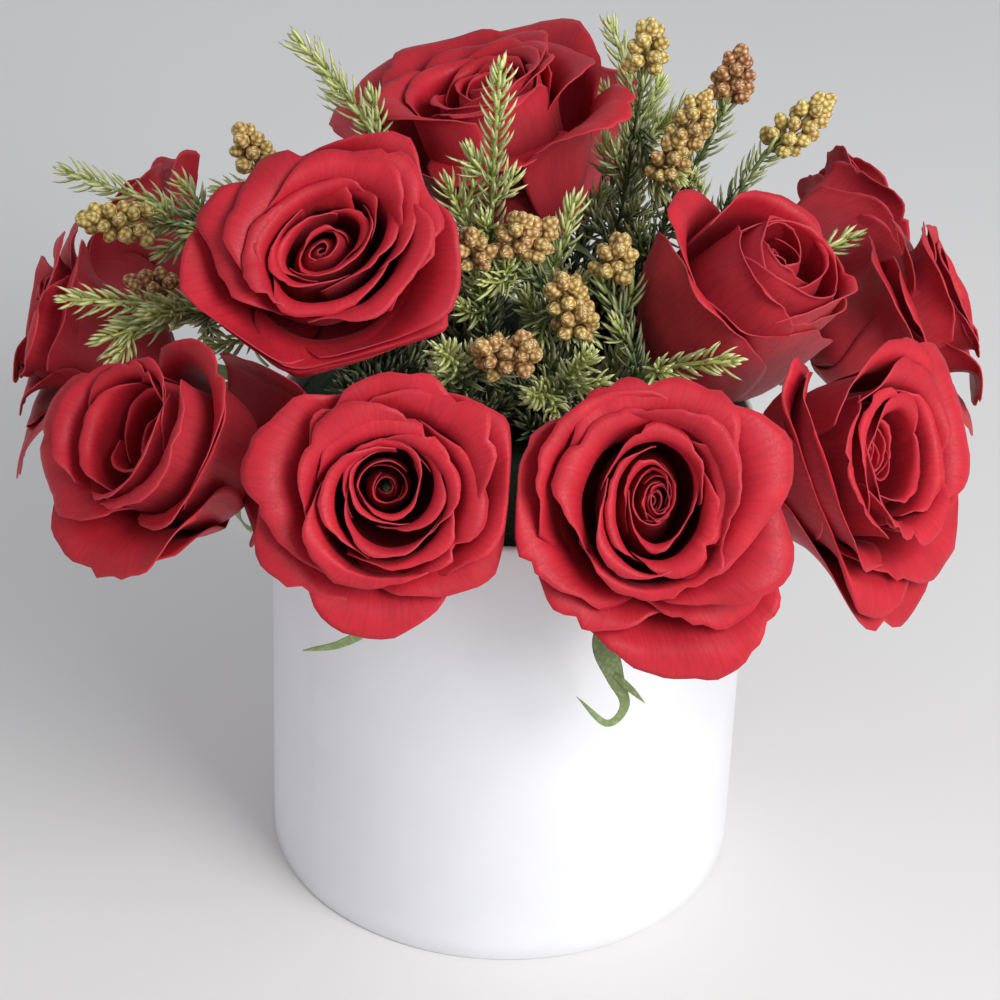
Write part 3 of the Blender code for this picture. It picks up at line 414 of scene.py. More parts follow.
# Each rose: the foot of its bloom, the way it faces, its form, half its width, its height,
# its number of petals and its named outer petals, each an (angle, reach, rise), and for some
# also how much wider and more pointed it is.
ROSES = {
    "front_left": (
        (-36.5, -68, 170), (.03, -.84, .54), HOLLOW, 40, 53, 25,
        ((128, .98, .04), (50, 1.05, .04), (90, 1.0, .05), (8, 1.1, .02), (173, .97, .0), (322, .9, -.01),
         (216, 1.02, -.03, 1.0, 1.4), (268, .88, -.03, 1.1, 1.2))),
    "front_right": (
        (36.5, -67, 168), (.05, -.84, .54), TIGHT, 45, 54, 33,
        ((40, 1.0, .05), (128, 1.2, .04), (5, 1.02, .03), (85, .79, .03), (342, 1.0, 0, 1.0, 1.3),
         (185, 1.08, 0), (313, .92, -.03, .9, 1.4), (232, .93, -.04), (287, 1.17, -.05, .75, 1.3))),
    "left_front": (
        (-77.5, -59.5, 167), (-.58, -.49, .6), CUP, 36, 53, 22,
        ((60, 1, -.02), (150, 1.0, 0), (330, 1, -.02), (25, 1.1, -.2, 1.2, 1.0), (335, 1.0, -.16, 1.1, 1.0),
         (192, .9, -.03), (254, 1.08, -.08), (220, 1.12, -.05, 1.1, 1.2), (26, 1.75, -.3, 1.5, 1.0))),
    "right_front": (
        (73.5, -43.5, 166.5), (.68, -.55, .49), TIGHT, 44, 54, 30,
        ((90, 1.08, .02), (20, 1.0, 0), (350, 1.0, -.02), (205, 1.2, -.06), (180, 1.12, -.16, .8, 1.0),
         (300, 1.08, -.04), (235, 1.1, -.04), (284, 1.14, -.08, 1.0, 1.3))),
    "upper_left": (
        (-58, -15, 206), (.023, -.734, .678), BUDDED, 40, 54, 27,
        ((81, .95, .05), (22, 1.1, .03), (133, .8, .02), (54, 1.3, .0, .8, 1.5), (172, .8, -.01),
         (334, 1.18, -.02), (206, 1.12, -.03, 1.0, 1.3), (296, 1.02, -.03), (258, 1.08, -.04, 1.0, 1.3))),
    "upper_right": (
        (45.5, -11, 181), (.54, -.26, .81), BUD, 37, 60, 17,
        ((60, .94, 0), (300, .95, 0), (205, 1.2, -.08, 1.0, 1.3), (250, 1.0, -.04),
         (142, .8, -.08, 1.2, 1.5))),
    "top_back": (
        (3, 37, 197), (-.275, .017, .955), TALL, 50, 55, 24,
        ((90, .95, 0), (16, .66, -.02, .8, 1.0), (150, 1.08, 0), (60, .72, -.05), (180, 1.2, 0),
         (115, 1.0, 0), (348, .84, 0, .55, 1.0), (285, .45, -.08, 1.2, 1.0))),
    "right_side": (
        (89, 19, 165), (.88, .06, .46), SIDE, 38, 53, 23,
        ((100, .85, -.05), (190, 1.0, -.1), (150, 1.0, -.12), (250, 1.1, -.04))),
    "left_side": (
        (-101, -6, 167), (-.93, .0, .36), SIDE, 36, 50, 23, ((200, 1.1, -.05), (250, 1.2, -.05))),
    "back_right": (
        (74, 57, 168), (.72, .58, .25), SIDE, 37, 50, 23,
        ((90, .6, -.05), (40, .8, -.05), (117, .9, 0, .5, 1.2), (160, 1.3, -.05, .6, 1.2),
         (180, 1.5, -.1, .7, 1.2), (206, 1.3, -.1, .7, 1.0), (270, 1.2, -.1))),
    "back_left": (
        (-83, 47, 167), (-.8, .5, .12), SIDE, 37, 52, 23, ((90, .7, -.1, .5, 1.6), (50, .7, -.1, .5, 1.6))),
    "back": ((5, 95, 166), (0, .85, .52), HOLLOW, 38, 52, 23, ()),
}

# Where one rose lies partly in front of another, the plane between them is tilted: (the rose
# behind, the rose in front, how far its way is turned in mm)
TILTS = (
    ("left_front", "front_left", (0, -38, 0)), ("right_front", "front_right", (0, -38, 0)),
    ("right_side", "upper_right", (0, -18, 18)), ("right_side", "right_front", (0, -22, 0)),
)

# How far the heart of a rose is drawn out, and in which direction of its face
OVAL_HEARTS = {"front_right": (84, 1.2), "upper_left": (38, 1.22), "right_front": (80, 1.25),
               "left_front": (75, 1.15)}


def on_map(tree, name):
    """Places taken from one of the maps of a piece."""
    return step(tree, "ShaderNodeUVMap", uv_map=name).outputs[0]


def halves(tree, place):
    """The two measures of a place on a map."""
    return step(tree, "ShaderNodeSeparateXYZ", {0: place}).outputs[:2]


def petal_finish(name, lit, deep, edge, sheen):
    """Velvety petal: darker at its foot with painted shade deep in the bloom, finely veined, uneven, and
    paler at its very edge with painted light showing through the thin rim.
    """
    material, tree, shader = finish(name, 0.5)
    along, kind = on_map(tree, "petal"), on_map(tree, "kind")
    v, chance = halves(tree, along)[1], halves(tree, kind)[1]
    tone, tooth = grained(tree, 90.0, 0.2)
    stretched = step(tree, "ShaderNodeMapping", {"Vector": along, "Scale": (75.0, 3.5, 1.0)}).outputs[0]
    shifted = step(tree, "ShaderNodeVectorMath", {0: stretched, 1: kind}, operation="ADD").outputs[0]
    fibres = {"Vector": shifted, "Scale": 1.0, "Detail": 2.0, "Distortion": 0.4}
    veins = step(tree, "ShaderNodeTexNoise", fibres).outputs[0]
    # Painted shade: the colour darkens from the rim down to the foot, deep inside the bloom.
    colour = mixed(tree, between(tree, v, 0.25, 0.85), deep, lit)
    colour = mixed(tree, between(tree, chance, 0.0, 1.0, 0.0, 0.35), colour, deep)
    colour = toned(tree, toned(tree, colour, tone), between(tree, veins, 0.35, 0.6, 0.88, 1.0))
    # Painted light: the rim turns paler, as light shows through the thin petal there.
    colour = mixed(tree, between(tree, v, 0.965, 1.0, 0.0, 0.5), colour, edge)
    tree.links.new(colour, shader.inputs["Base Color"])
    tree.links.new(between(tree, tooth, 0.3, 0.7, 0.44, 0.6), shader.inputs["Roughness"])
    shader.inputs["Sheen Weight"].default_value = sheen
    shader.inputs["Sheen Roughness"].default_value = 0.35
    shader.inputs["Sheen Tint"].default_value = (1.0, 0.2, 0.25, 1.0)
    shader.inputs["Specular IOR Level"].default_value = 0.25
    height = step(tree, "ShaderNodeMath", {0: veins, 1: tooth}, operation="ADD").outputs[0]
    embossed(tree, shader, height, 0.25, 0.0002)
    return material


# Each petal finish: its colour where lit, its painted shade at the foot, its paler rim of painted light, and
# its sheen.
petal_back = petal_finish(
    "rose_petal_back", (0.56, 0.028, 0.046, 1), (0.42, 0.026, 0.038, 1), (0.60, 0.06, 0.09, 1), 0.1)
petal_face = petal_finish(
    "rose_petal_face", (0.58, 0.018, 0.034, 1), (0.44, 0.016, 0.028, 1), (0.60, 0.04, 0.06, 1), 0.1)
petal_edge = petal_finish(
    "rose_petal_edge", (0.50, 0.03, 0.05, 1), (0.35, 0.02, 0.03, 1), (0.56, 0.07, 0.09, 1), 0.05)


def smooth(low, high, value):
    """How far a value has come from low to high, with soft ends."""
    t = max(0.0, min(1.0, (value - low) / (high - low)))
    return t * t * (3.0 - 2.0 * t)


def keyed(place, keys):
    """The value at a place along (place, value) keys."""
    for (start, low), (end, high) in zip(keys, keys[1:]):
        if place <= end:
            return low + (high - low) * (place - start) / (end - start)
    return keys[-1][1]


def rose_petal(name, index):
    """The measures of one petal: its crest, how it leans, wraps, rolls and waves."""
    form, size, tall, count, outer = ROSES[name][2:]
    draw = random.Random(f"{name}{index}")
    place = index / (count - 1)
    turn = random.Random(name).uniform(0.0, 360.0) + index * GOLDEN_ANGLE + draw.uniform(-9.0, 9.0)
    reach = 1.0 + draw.uniform(-0.06, 0.06) * place
    rise = draw.uniform(-0.025, 0.025)
    width, tip = 1.0, 1.0
    named = index - (count - len(outer))
    if named >= 0:
        turn, reach, lift, *shape = outer[named]
        rise += lift
        width, tip = shape or (1.0, 1.0)
    radius = keyed(place, form["radius"]) * size * reach
    wrap = math.radians(keyed(place, form["wrap"]))
    petal = {
        "place": place,
        "turn": math.radians(turn),
        "crest": (radius, (keyed(place, form["height"]) + rise) * tall),
        "lean": math.radians(keyed(place, form["lean"]) + draw.uniform(-6.0, 6.0) * place),
        "curl": keyed(place, form["curl"]) * draw.uniform(0.7, 1.3),
        "roll": math.radians(keyed(place, form["roll"]) * draw.uniform(0.8, 1.15)),
        "skew": draw.uniform(-0.4, 0.4),
        "half": min(size * 0.98, wrap * max(radius, 1.5)) * width,
        "foot": (1.0 + 2.0 * place, 6.0 - 3.0 * place),
        "belly": math.radians(keyed(place, form["belly"])),
        "rise": tall * keyed(place, ((0, .3), (.5, .46), (1, .56))),
        "band": tall * keyed(place, form["band"]),
        "fall": (keyed(place, form["fall"]) + draw.uniform(-0.03, 0.03)) * tip,
        "point": (keyed(place, ((0, 2.6), (.5, 2.2), (.75, 1.7), (1, 1.6)))
                  + draw.uniform(-0.2, 0.4)) / tip ** 0.8,
        "margins": keyed(place, ((0, .0), (.35, .2), (.6, .45), (1, .6))) * draw.uniform(0.4, 1.3),
        "wave": keyed(place, ((0, .25), (.5, .7), (1, 1.7))),
        "swirl": keyed(place, ((0, .5), (.3, 1.0), (.6, 1.0), (1, .5))),
        "seed": draw.uniform(0.0, 100.0),
    }
    stand = math.hypot(radius, petal["crest"][1]) * 1.08
    petal["body"] = stand / (stand + petal["curl"] * petal["roll"])
    loose = smooth(0.02, 0.3, place) * (1.0 - smooth(0.75, 1.0, place))
    own = random.Random(name).uniform(0.0, 50.0)
    drift = Vector((rough(place * 2.6, own, 0.0), rough(own, place * 2.6, 9.0))) * size * 0.18
    jolt = Vector((draw.uniform(-1, 1), draw.uniform(-1, 1))) * size * 0.022
    petal["drift"] = (drift + jolt) * loose
    direction, stretch = OVAL_HEARTS.get(name, (draw.uniform(0, 180), 1.04))
    petal["oval"] = (math.radians(direction), stretch ** (1.0 - smooth(0.45, 0.85, place)))
    petal["tears"] = [(draw.uniform(-0.55, 0.55), draw.uniform(0.06, 0.12), draw.uniform(0.015, 0.05))
                      for _ in range(draw.choice((0, 1, 2, 2)) if place > 0.55 else 0)]
    return petal


def petal_line(petal, t, u):
    """Radius and height down the middle of the petal, and the way its back faces there."""
    (crest_out, crest_up), lean, body = petal["crest"], petal["lean"], petal["body"]
    if t > body:
        curl = petal["curl"] * (1.0 + petal["skew"] * u + 0.5 * rough(u * 1.6, petal["seed"], 2.2))
        turned = lean + (t - body) / (1.0 - body) * petal["roll"]
        return (crest_out + curl * (math.cos(lean) - math.cos(turned)),
                crest_up + curl * (math.sin(turned) - math.sin(lean)), math.cos(turned), -math.sin(turned))
    t = t / body
    foot, belly = petal["foot"], petal["belly"]
    ends = (foot,
            (foot[0] + petal["rise"] * math.sin(belly), foot[1] + petal["rise"] * math.cos(belly)),
            (crest_out - petal["band"] * math.sin(lean), crest_up - petal["band"] * math.cos(lean)),
            (crest_out, crest_up))
    m = 1.0 - t
    weights = (m ** 3, 3 * m * m * t, 3 * m * t * t, t ** 3)
    radius, height = (sum(w * end[axis] for w, end in zip(weights, ends)) for axis in (0, 1))
    slopes = (3 * m * m, 6 * m * t, 3 * t * t)
    out, up = (sum(w * (b[axis] - a[axis]) for w, a, b in zip(slopes, ends, ends[1:])) for axis in (0, 1))
    length = math.hypot(out, up)
    return radius, height, up / length, -out / length


def petal_point(petal, u, v):
    """A point of the petal, u from -1 to 1 across it and v from 0 at its foot to 1 at its rim."""
    place, seed, body = petal["place"], petal["seed"], petal["body"]
    broad = rough(u * 2.0 + seed, 0.0, seed)
    fine = rough(u * 6.0 + seed, 5.0, seed)
    ragged = rough(u * 19.0 + seed, 11.0, seed)
    rim = 1.0 - petal["fall"] * abs(u) ** petal["point"] + (0.035 * broad + 0.014 * fine) * (0.3 + place)
    rim += 0.008 * ragged * (0.2 + place) * (1.0 - u ** 4)
    for middle, width, depth in petal["tears"]:
        rim -= depth * max(0.0, 1.0 - abs(u - middle) / width)
    # More of the rows lie in the roll than in the hidden body
    near = body * 0.86
    t = v / FEW_ROWS * near if v < FEW_ROWS else near + (v - FEW_ROWS) / (1.0 - FEW_ROWS) * (1.0 - near)
    t = min(t * rim, 1.03)
    radius, height, back_out, back_up = petal_line(petal, t, u)
    half = petal["half"] * (0.12 + 0.88 * math.sin(min(1.0, t / 0.7) * math.pi / 2) ** 0.9)
    side = abs(u * half)
    away = 0.0
    # The side margins roll back
    grown = smooth(0.4, 0.9, t)
    flat = half * (1.0 - 0.34 * grown)
    bend = min((side - flat) / MARGIN_ROLL, 2.2) * petal["margins"] * grown
    if bend > 0.0001:
        away = MARGIN_ROLL * (1.0 - math.cos(bend))
        side = flat + (side - flat) * math.sin(bend) / bend
    radius_out = radius + back_out * away + petal["swirl"] * u * smooth(0.1, 0.6, t)
    height += back_up * away
    # Soft waves and creases
    wave = petal["wave"] * t ** 2.2
    first = rough(u * 1.7 + seed, v * 1.4, 3.1)
    second = rough(u * 3.9 + seed, v * 2.2, 9.1)
    third = wave * 0.4 * rough(u * 2.0, v * 1.3 + seed, 7.7)
    crease = rough(u * 9.0 + seed, v * 1.6, 4.4) * 0.35 * smooth(0.3, 0.8, place) * t
    push = wave * (first + 0.35 * second) + crease
    radius_out += push * back_out + third
    height += push * back_up + third
    angle = petal["turn"] + math.copysign(min(2.9, side / max(min(radius, petal["crest"][0]), 1.4)), u)
    x, y = radius_out * math.cos(angle), radius_out * math.sin(angle)
    direction, stretch = petal["oval"]
    along = x * math.cos(direction) + y * math.sin(direction)
    across = y * math.cos(direction) - x * math.sin(direction)
    along, across = along * stretch, across / stretch
    x = along * math.cos(direction) - across * math.sin(direction)
    y = along * math.sin(direction) + across * math.cos(direction)
    shift = petal["drift"] * smooth(0.1, 0.7, t)
    return Vector((x + shift.x, y + shift.y, height))


def rose_axes(name):
    """The foot of the bloom and its own right, up and facing directions."""
    facing = Vector(ROSES[name][1]).normalized()
    upward = (IMAGE_UP - facing * IMAGE_UP.dot(facing)).normalized()
    return Vector(ROSES[name][0]), upward.cross(facing), upward, facing


def rose_bounds(name):
    """Planes that a bloom stays behind: one towards each neighbour, the rim and the foam."""
    foot, _, _, facing = rose_axes(name)
    middle = foot + facing * BODY_HEIGHT
    size = ROSES[name][3]
    planes = []
    for other in ROSES:
        if other != name:
            other_foot, _, _, other_facing = rose_axes(other)
            towards = other_foot + other_facing * BODY_HEIGHT - middle
            share = size / (size + ROSES[other][3])
            if towards.length * share < size * 1.7:
                between_them = middle + towards * share
                for behind, before, turned in TILTS:
                    if (name, other) == (behind, before):
                        towards = towards + Vector(turned)
                    elif (other, name) == (behind, before):
                        towards = towards - Vector(turned)
                planes.append((between_them, towards.normalized()))
    outward = Vector((foot.x, foot.y, 0.0))
    if outward.length > FOAM_RADIUS:
        outward.normalize()
        planes.append((outward * (BOX_RADIUS / MM - 2.0) + Vector((0, 0, BOX_HEIGHT / MM + 2.5)),
                       (-outward - Vector((0, 0, 1))).normalized()))
    else:
        planes.append((Vector((0, 0, FOAM_TOP + 2.0)), Vector((0, 0, -1))))
    for axis in (Vector((1, 0, 0)), Vector((0, 1, 0)), Vector((0, 0, 1))):
        planes += [(Vector(cad_box[1]) / MM, axis), (Vector(cad_box[0]) / MM, -axis)]
    return planes


def pressed(place, planes):
    """Blooms press on each other: what comes near a plane is squeezed back behind it."""
    for point, towards in planes:
        over = (place - point).dot(towards) + PRESS_GAP + PRESS_SOFT
        if over > 0.0:
            place = place - towards * (over - PRESS_SOFT * (1.0 - math.exp(-over / PRESS_SOFT)))
    for _ in range(4):
        for point, towards in planes:
            over = (place - point).dot(towards) + PRESS_GAP
            if over > 0.0:
                place = place - towards * over
    return place


def mapped(points, layer, at):
    """Gives the face corners at these points their places on a map."""
    for face in {face for point in points for face in point.link_faces}:
        for corner in face.loops:
            corner[layer].uv = at(corner.vert)


bloom_trees = []
for name in ROSES:
    foot, right, upward, facing = rose_axes(name)
    planes = rose_bounds(name)
    bm = bmesh.new()
    petal_map = bm.loops.layers.uv.new("petal")
    kind_map = bm.loops.layers.uv.new("kind")
    for index in range(ROSES[name][5]):
        petal = rose_petal(name, index)
        chance = random.Random(f"tone{name}{index}").random()
        across, along = (28, 20) if petal["place"] > 0.3 else (26, 14)
        blade = bmesh.ops.create_grid(bm, x_segments=across, y_segments=along, size=1.0)["verts"]
        grown = {vert: (vert.co.x, (vert.co.y + 1.0) / 2.0) for vert in blade}
        for vert, (u, v) in grown.items():
            x, y, z = petal_point(petal, u, v)
            vert.co = pressed(foot + right * x + upward * y + facing * z, planes) * MM
        mapped(blade, petal_map, lambda vert: (grown[vert][0] * 0.5 + 0.5, grown[vert][1]))
        mapped(blade, kind_map, lambda vert: (petal["place"], chance))
    bloom_trees.append(BVHTree.FromBMesh(bm))
    bloom = piece_of(f"rose_{name}", bm, "rose_petal", petal_back, petal_face, petal_edge)
    shell = bloom.modifiers.new("thickness", "SOLIDIFY")
    shell.thickness = PETAL_THICKNESS * MM
    shell.offset = 0.0
    shell.material_offset = 1
    shell.material_offset_rim = 2
    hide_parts(f"bloom_{name}")


# Rose stems. Under each bloom sits a green hip with five sepals, and a smooth stem runs from
# it down into the foam. Two long sepals hang in front of the box.

CALYX_LENGTH = 9.0
ROOT_DEPTH = 34.0
STEM_RADIUS = 2.3

rose_green, tree, shader = finish("rose_green", 0.42)
tone, tooth = grained(tree, 60.0, 0.3)
u, v = halves(tree, on_map(tree, "grown"))
colour = mixed(tree, between(tree, u, 0.0, 1.0), (0.07, 0.15, 0.03, 1), (0.24, 0.33, 0.11, 1))
colour = mixed(tree, between(tree, v, 0.4, 0.52, 0.0, 0.5), colour, (0.50, 0.60, 0.30, 1))
colour = mixed(tree, between(tree, tooth, 0.45, 0.7, 0.0, 0.35), colour, (0.55, 0.62, 0.36, 1))
tree.links.new(toned(tree, colour, tone), shader.inputs["Base Color"])
embossed(tree, shader, tooth, 0.4, 0.0003)

# The long sepals: their own middle points, from the hip outwards
HANGING_SEPALS = {
    "front_right": (
        (33, -86, 150), (28, -94, 138), (31, -96, 127), (34.5, -97, 117), (29.5, -98, 111), (20.5, -98, 120)),
    "front_left": ((-37, -84, 151), (-40, -92, 139), (-48, -94, 133), (-59, -94, 130)),
}

# Half the width of a long sepal from its foot to its tip
SEPAL_WIDTHS = ((0, 1.6), (.12, 3.6), (.34, 4.3), (.48, 3.0), (.6, 1.7), (.78, 1.3), (.92, .8), (1, .1))

# The hip from the bloom down to the stem, each a half width and a depth
HIP = ((0.0, 0.3), (2.0, 0.5), (3.9, 0.2), (5.0, 1.2), (5.3, 2.8), (4.9, 4.6), (3.9, 6.2), (3.0, 7.6),
       (2.6, 9.0), (0.0, 9.0))


def curve_at(ends, t):
    """A point of the smooth curve bent by four points."""
    m = 1.0 - t
    return ends[0] * m ** 3 + ends[1] * 3 * m * m * t + ends[2] * 3 * m * t * t + ends[3] * t ** 3


def bent_path(points, spans):
    """Points along a smooth line through the given ones."""
    padded = [points[0] * 2 - points[1]] + list(points) + [points[-1] * 2 - points[-2]]
    path = []
    for index in range(1, len(padded) - 2):
        before, start, end, after = padded[index - 1:index + 3]
        for part in range(spans):
            t = part / spans
            path.append(0.5 * (start * 2 + (end - before) * t
                               + (before * 2 - start * 5 + end * 4 - after) * t * t
                               + (start * 3 - before - end * 3 + after) * t ** 3))
    return path + [points[-1]]


def swept(bm, path, sides, shape, flat, tints):
    """A tube or leaf along a path. shape gives half its width, half its thickness and its cup."""
    rows = len(path) - 1
    made = bmesh.ops.create_grid(bm, x_segments=sides, y_segments=rows, size=1.0)["verts"]
    spots = {}
    for vert in made:
        turn, row = math.pi * (vert.co.x + 1.0), round((vert.co.y + 1.0) / 2.0 * rows)
        spots[vert] = (turn / math.tau, row / rows)
        along = (path[min(row + 1, rows)] - path[max(row - 1, 0)]).normalized()
        side = along.cross(flat).normalized()
        over = side.cross(along)
        half, thick, cup = shape(row / rows)
        vert.co = (path[row] + side * half * math.cos(turn)
                   + over * (thick * math.sin(turn) + cup * (math.cos(turn) ** 2 - 0.5))) * MM
    mapped(made, bm.loops.layers.uv.verify(), lambda vert: tints(*spots[vert]))


def sepal_tint(dark, paler):
    """The tints of a sepal: darker at its foot and pale on the side that faces out."""
    return lambda u, v: (dark + paler * v, 1.0 if 0.5 < u else 0.0)


def stem_ends(name):
    """Where a rose's stem ends deep in the foam, leaves it, and meets the hip."""
    foot, _, _, facing = rose_axes(name)
    reach = math.hypot(foot.x, foot.y)
    outward = Vector((foot.x, foot.y, 0.0)) / reach
    if reach > FOAM_RADIUS:
        entry = outward * 60.0
        slant = (outward * 0.6 + Vector((0, 0, 0.8))).normalized()
    else:
        entry = outward * min(45.0, reach * 0.6)
        slant = (outward * 0.2 + Vector((0, 0, 1.0))).normalized()
    entry.z = FOAM_SHOULDER if entry.length > FOAM_TOP_RADIUS else FOAM_TOP
    return entry - slant * ROOT_DEPTH, entry + slant * 3.0, foot - facing * (0.6 * CALYX_LENGTH)


for name in ROSES:
    deep, leaving, end = stem_ends(name)
    foot, right, upward, facing = rose_axes(name)
    planes = rose_bounds(name)
    slant = (leaving - deep).normalized()
    reach = (end - leaving).length * 0.4
    ends = (leaving, leaving + slant * reach, end - facing * reach, end)
    path = [deep] + [curve_at(ends, share / 20) for share in range(21)]
    bm = bmesh.new()
    bm.loops.layers.uv.new("grown")
    swept(bm, [path[0]] + path + [path[-1]], 12,
          lambda t: (STEM_RADIUS, STEM_RADIUS, 0.0) if 0.0 < t < 1.0 else (0.0, 0.0, 0.0),
          right, lambda u, v: (0.25, 0.0))
    swept(bm, [foot - facing * depth for _, depth in HIP], 16,
          lambda t: (HIP[round(t * 9)][0], HIP[round(t * 9)][0], 0.0), right, lambda u, v: (0.45, 0.0))
    for index in range(5):
        draw = random.Random(f"sepal{name}{index}")
        angle = math.radians(90.0 + 72.0 * index + draw.uniform(-9, 9))
        outward = right * math.cos(angle) + upward * math.sin(angle)
        points = [foot + outward * 3.4 - facing * 1.6]
        droop = math.radians(draw.uniform(45, 75))
        for bend in (0.35, 0.8, 1.2, 1.5):
            lean = droop * bend
            points.append(points[-1] + (outward * math.cos(lean) - facing * math.sin(lean)) * 6.2)
        points = [pressed(point, planes) for point in points]
        swept(bm, bent_path(points, 5), 8,
              lambda t: (3.1 * math.sin(math.pi * (0.2 + 0.8 * t)) ** 0.8 * (1.0 - 0.35 * t), 0.3, 0.5),
              facing, sepal_tint(0.35, 0.5))
    if name in HANGING_SEPALS:
        points = [foot - facing * 3.0] + [Vector(place) for place in HANGING_SEPALS[name]]
        swept(bm, bent_path(points, 8), 10, lambda t: (keyed(t, SEPAL_WIDTHS), 0.3, 1.0 - t),
              Vector((0.35, -1, 0.2)), sepal_tint(0.45, 0.55))
    if name == "front_right":
        # The small side lobe of the long sepal
        lobe = [points[3], points[3].lerp(points[4], 0.5) + Vector((3.2, -0.6, 0.8)),
                points[4] + Vector((6.0, -1.0, 1.5))]
        swept(bm, bent_path(lobe, 6), 8, lambda t: (1.1 * math.sin(math.pi * (0.25 + 0.75 * t)), 0.25, 0.2),
              Vector((0.2, -1, 0.2)), sepal_tint(0.6, 0.4))
    bmesh.ops.remove_doubles(bm, verts=bm.verts, dist=0.000001)
    bmesh.ops.recalc_face_normals(bm, faces=bm.faces)
    stem = piece_of(f"green_{name}", bm, "rose_green", rose_green)
    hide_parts(f"stem_{name}")


# Conifer sprigs. Cut tips of an evergreen: a thin twig set all round with stiff awl-shaped
# needles that point forward and curve in. Low on a sprig the needles are near-black, older dark
# green with painted shade added; the young tips are yellow-green, brightened with a painted highlight.

NEEDLE_LENGTH = 8.0
NEEDLE_STEP = 0.7
NEEDLE_WIDTHS = (0.0, 0.703, 0.74, 0.592, 0.0)
BOX_MARGIN = 0.0015

conifer_green, tree, shader = finish("conifer_green", 0.3)
tone, tooth = grained(tree, 80.0, 0.3)
u, v = halves(tree, on_map(tree, "grown"))
# Painted shade makes the needles low on a sprig near-black; a painted highlight makes the young tips nearly
# white-yellow.
old_and_shaded = mixed(tree, between(tree, u, 0.0, 0.66), (0.012, 0.016, 0.010, 1), (0.085, 0.15, 0.05, 1))
body = mixed(tree, between(tree, u, 0.5, 0.95), old_and_shaded, (0.62, 0.70, 0.20, 1))
tips = mixed(tree, u, (0.035, 0.055, 0.03, 1), (0.90, 0.92, 0.48, 1))
colour = mixed(tree, between(tree, v, 0.15, 0.9, 0.0, 0.75), body, tips)
tree.links.new(toned(tree, colour, tone), shader.inputs["Base Color"])
embossed(tree, shader, tooth, 0.3, 0.0002)

# The sprigs that close the gaps between the blooms with many low twigs
DENSE = ("centre_tall", "centre_right", "centre_left", "centre_front", "front_right", "left", "upper_left",
         "back_gold", "right", "right_tip")

